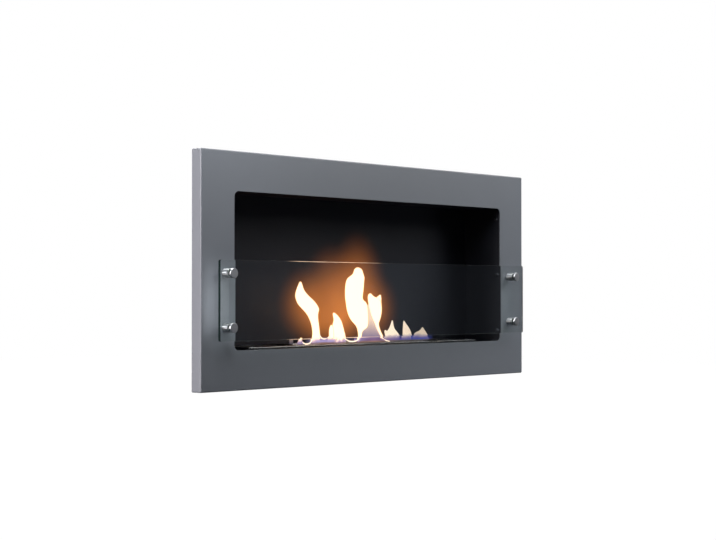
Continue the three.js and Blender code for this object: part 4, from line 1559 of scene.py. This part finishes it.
class FIREPLACE_OT_studio(bpy.types.Operator):
    """Sets up the pale floor, the lamps, the backdrop and the camera"""

    bl_idname = "fireplace.studio"
    bl_label = "Studio"

    def execute(self, context):
        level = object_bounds()[0].z - settings("studio").floor_drop
        self.world()
        self.floor(level)
        self.screen(level)
        self.lamps()
        self.camera()
        context.scene.view_settings.view_transform = "Standard"
        return {"FINISHED"}

    def world(self):
        """White to the eye, and a weak even light on surfaces."""
        world = bpy.data.worlds.new("studio_backdrop")
        bpy.context.scene.world = world
        world.use_nodes = True
        tree = world.node_tree
        tree.nodes.clear()
        strength = faded(tree, (sees_background(tree), 0, 1, settings("studio").sky, 1))
        shader = add_node(tree, "Background", {"Color": WHITE, "Strength": strength})
        add_node(tree, "OutputWorld", {"Surface": shader})

    def floor(self, level):
        """The pale floor, a square of 30 m."""
        bm = bmesh.new()
        bmesh.ops.create_grid(
            bm, x_segments=1, y_segments=1, size=0.5, matrix=scaled((30, 30, 1), (0, 0, level))
        )
        new_object("studio_floor", bm, [pale_studio_floor])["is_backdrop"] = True

    def screen(self, level):
        """A round screen in front and on the floor, which only mirrors and glass see."""
        # In metres, and in radians to the right of the front.
        radius, low, high = 3, -1, 6
        start, sweep = -1.5, 3.0
        bm = bmesh.new()
        post = [bm.verts.new((0, -radius, z)) for z in (low, high)]
        edge = bm.edges.new(post)
        bmesh.ops.rotate(bm, verts=post, matrix=Matrix.Rotation(start, 3, "Z"))
        bmesh.ops.spin(
            bm, geom=post + [edge], axis=(0, 0, 1), cent=(0, 0, 0), steps=40, angle=sweep
        )
        bmesh.ops.create_circle(
            bm, segments=40, radius=radius, cap_ends=True,
            matrix=Matrix.Translation((0, 0, level + 5 * MM)),
        )
        screen = new_object("studio_screen", bm, [studio_screen])
        screen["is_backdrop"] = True
        screen.visible_camera = screen.visible_diffuse = screen.visible_shadow = False
        screen.visible_volume_scatter = False

    def lamps(self):
        """The lamps, each with its power, its size and its place in metres, and its tint."""
        studio = settings("studio")
        middle_of_front = (0, -0.1, -0.1)
        for name, power, size, place, tint in (
            ("key_lamp", studio.key, 1.0, (1.25, -0.98, 0.8), "#ffffff"),
            ("top_lamp", studio.top, 0.25, (-0.53, -0.36, 0.36), "#ffffff"),
            ("overhead_lamp", studio.overhead, 0.5, (-0.3, -0.14, 1.6), "#ffffff"),
            ("edge_lamp", studio.edge, 0.2, (-2.2, -0.14, 0.22), "#fff8f8"),
            ("side_lamp", studio.side, 1.0, (-2.4, 0.35, -0.6), "#fff2f1"),
            ("back_lamp", studio.back, 1.6, (0.6, 2.6, 1.4), "#ffffff"),
        ):
            area_lamp(name, power, size, place, middle_of_front, tint)
        # Lifts the low end of the frame on the right, and no mirror shows it.
        low_lamp = area_lamp("low_lamp", studio.low, 0.5, (1.3, -0.9, -0.6), middle_of_front)
        low_lamp.visible_camera = low_lamp.visible_glossy = False
        # Small lamps near the frame's plane, which draw bright lines along the barrels.
        for name, place in (
            ("upper_glint", (-0.3, -0.14, 1.6)), ("left_glint", (-2.2, -0.14, 0.62)),
        ):
            glint = area_lamp(name, studio.glint, 0.22, place, middle_of_front)
            glint.visible_camera = glint.visible_diffuse = False
        # Light that the pane's left end throws on the frame: most of it past the end, and
        # a little through the pane.
        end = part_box("glass_pane")[0]
        across, height = end.x + 12 * MM, middle("glass_pane").z
        width_of_strip, height_of_strip = 50 * MM, 100 * MM
        for name, share, gap, through in (
            ("glass_end_lamp", 1, 14, False), ("glass_end_haze", 0.58, 13, True),
        ):
            strip = area_lamp(
                name, studio.glass_end * share, width_of_strip,
                (across, end.y - gap * MM, height), (across, 0, height),
            )
            strip.data.shape, strip.data.size_y = "RECTANGLE", height_of_strip
            strip.visible_camera = strip.visible_glossy = False
            strip.visible_transmission = through

    def camera(self):
        """The camera: its place, its direction and its lens suit the picture's perspective."""
        data = bpy.data.cameras.new("camera")
        data.sensor_width = 36
        data.lens = 80.86
        camera = bpy.data.objects.new("camera", data)
        bpy.context.scene.collection.objects.link(camera)
        camera.location = (-2.25464, -2.01328, -0.13797)
        yaw, pitch = math.radians(48.9), math.radians(0.84)
        towards = Vector((
            math.sin(yaw) * math.cos(pitch),
            math.cos(yaw) * math.cos(pitch),
            math.sin(pitch),
        ))
        camera.rotation_euler = towards.to_track_quat("-Z", "Y").to_euler()
        bpy.context.scene.camera = camera


# ------------------------------------------------------------------ add-on


class FIREPLACE_PT_panel(bpy.types.Panel):
    """Lists the fireplace's pieces and sizes in the sidebar"""

    bl_idname = "FIREPLACE_PT_panel"
    bl_label = "Fireplace"
    bl_space_type = "VIEW_3D"
    bl_region_type = "UI"
    bl_category = "Fireplace"

    def draw(self, context):
        for operator in OPERATORS:
            self.layout.operator(operator.bl_idname)
        for name in GROUPS:
            box = self.layout.box()
            group = getattr(context.scene, name)
            for prop in group.bl_rna.properties:
                if prop.identifier not in ("rna_type", "name"):
                    box.prop(group, prop.identifier)


OPERATORS = (
    FIREPLACE_OT_front_frame,
    FIREPLACE_OT_opening_collar,
    FIREPLACE_OT_rivets,
    FIREPLACE_OT_firebox,
    FIREPLACE_OT_glass_pane,
    FIREPLACE_OT_glass_fixings,
    FIREPLACE_OT_burner_deck,
    FIREPLACE_OT_shutter,
    FIREPLACE_OT_wool,
    FIREPLACE_OT_flames,
    FIREPLACE_OT_studio,
)


def register():
    for cls in (*GROUPS.values(), *OPERATORS, FIREPLACE_PT_panel):
        bpy.utils.register_class(cls)
    for name, group in GROUPS.items():
        setattr(bpy.types.Scene, name, PointerProperty(type=group))


def unregister():
    for name in GROUPS:
        delattr(bpy.types.Scene, name)
    for cls in reversed((*GROUPS.values(), *OPERATORS, FIREPLACE_PT_panel)):
        bpy.utils.unregister_class(cls)


def main():
    register()
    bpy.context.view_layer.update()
    for operator in OPERATORS:
        group, name = operator.bl_idname.split(".")
        getattr(getattr(bpy.ops, group), name)()
    bpy.context.view_layer.update()


if __name__ == "__main__":
    main()
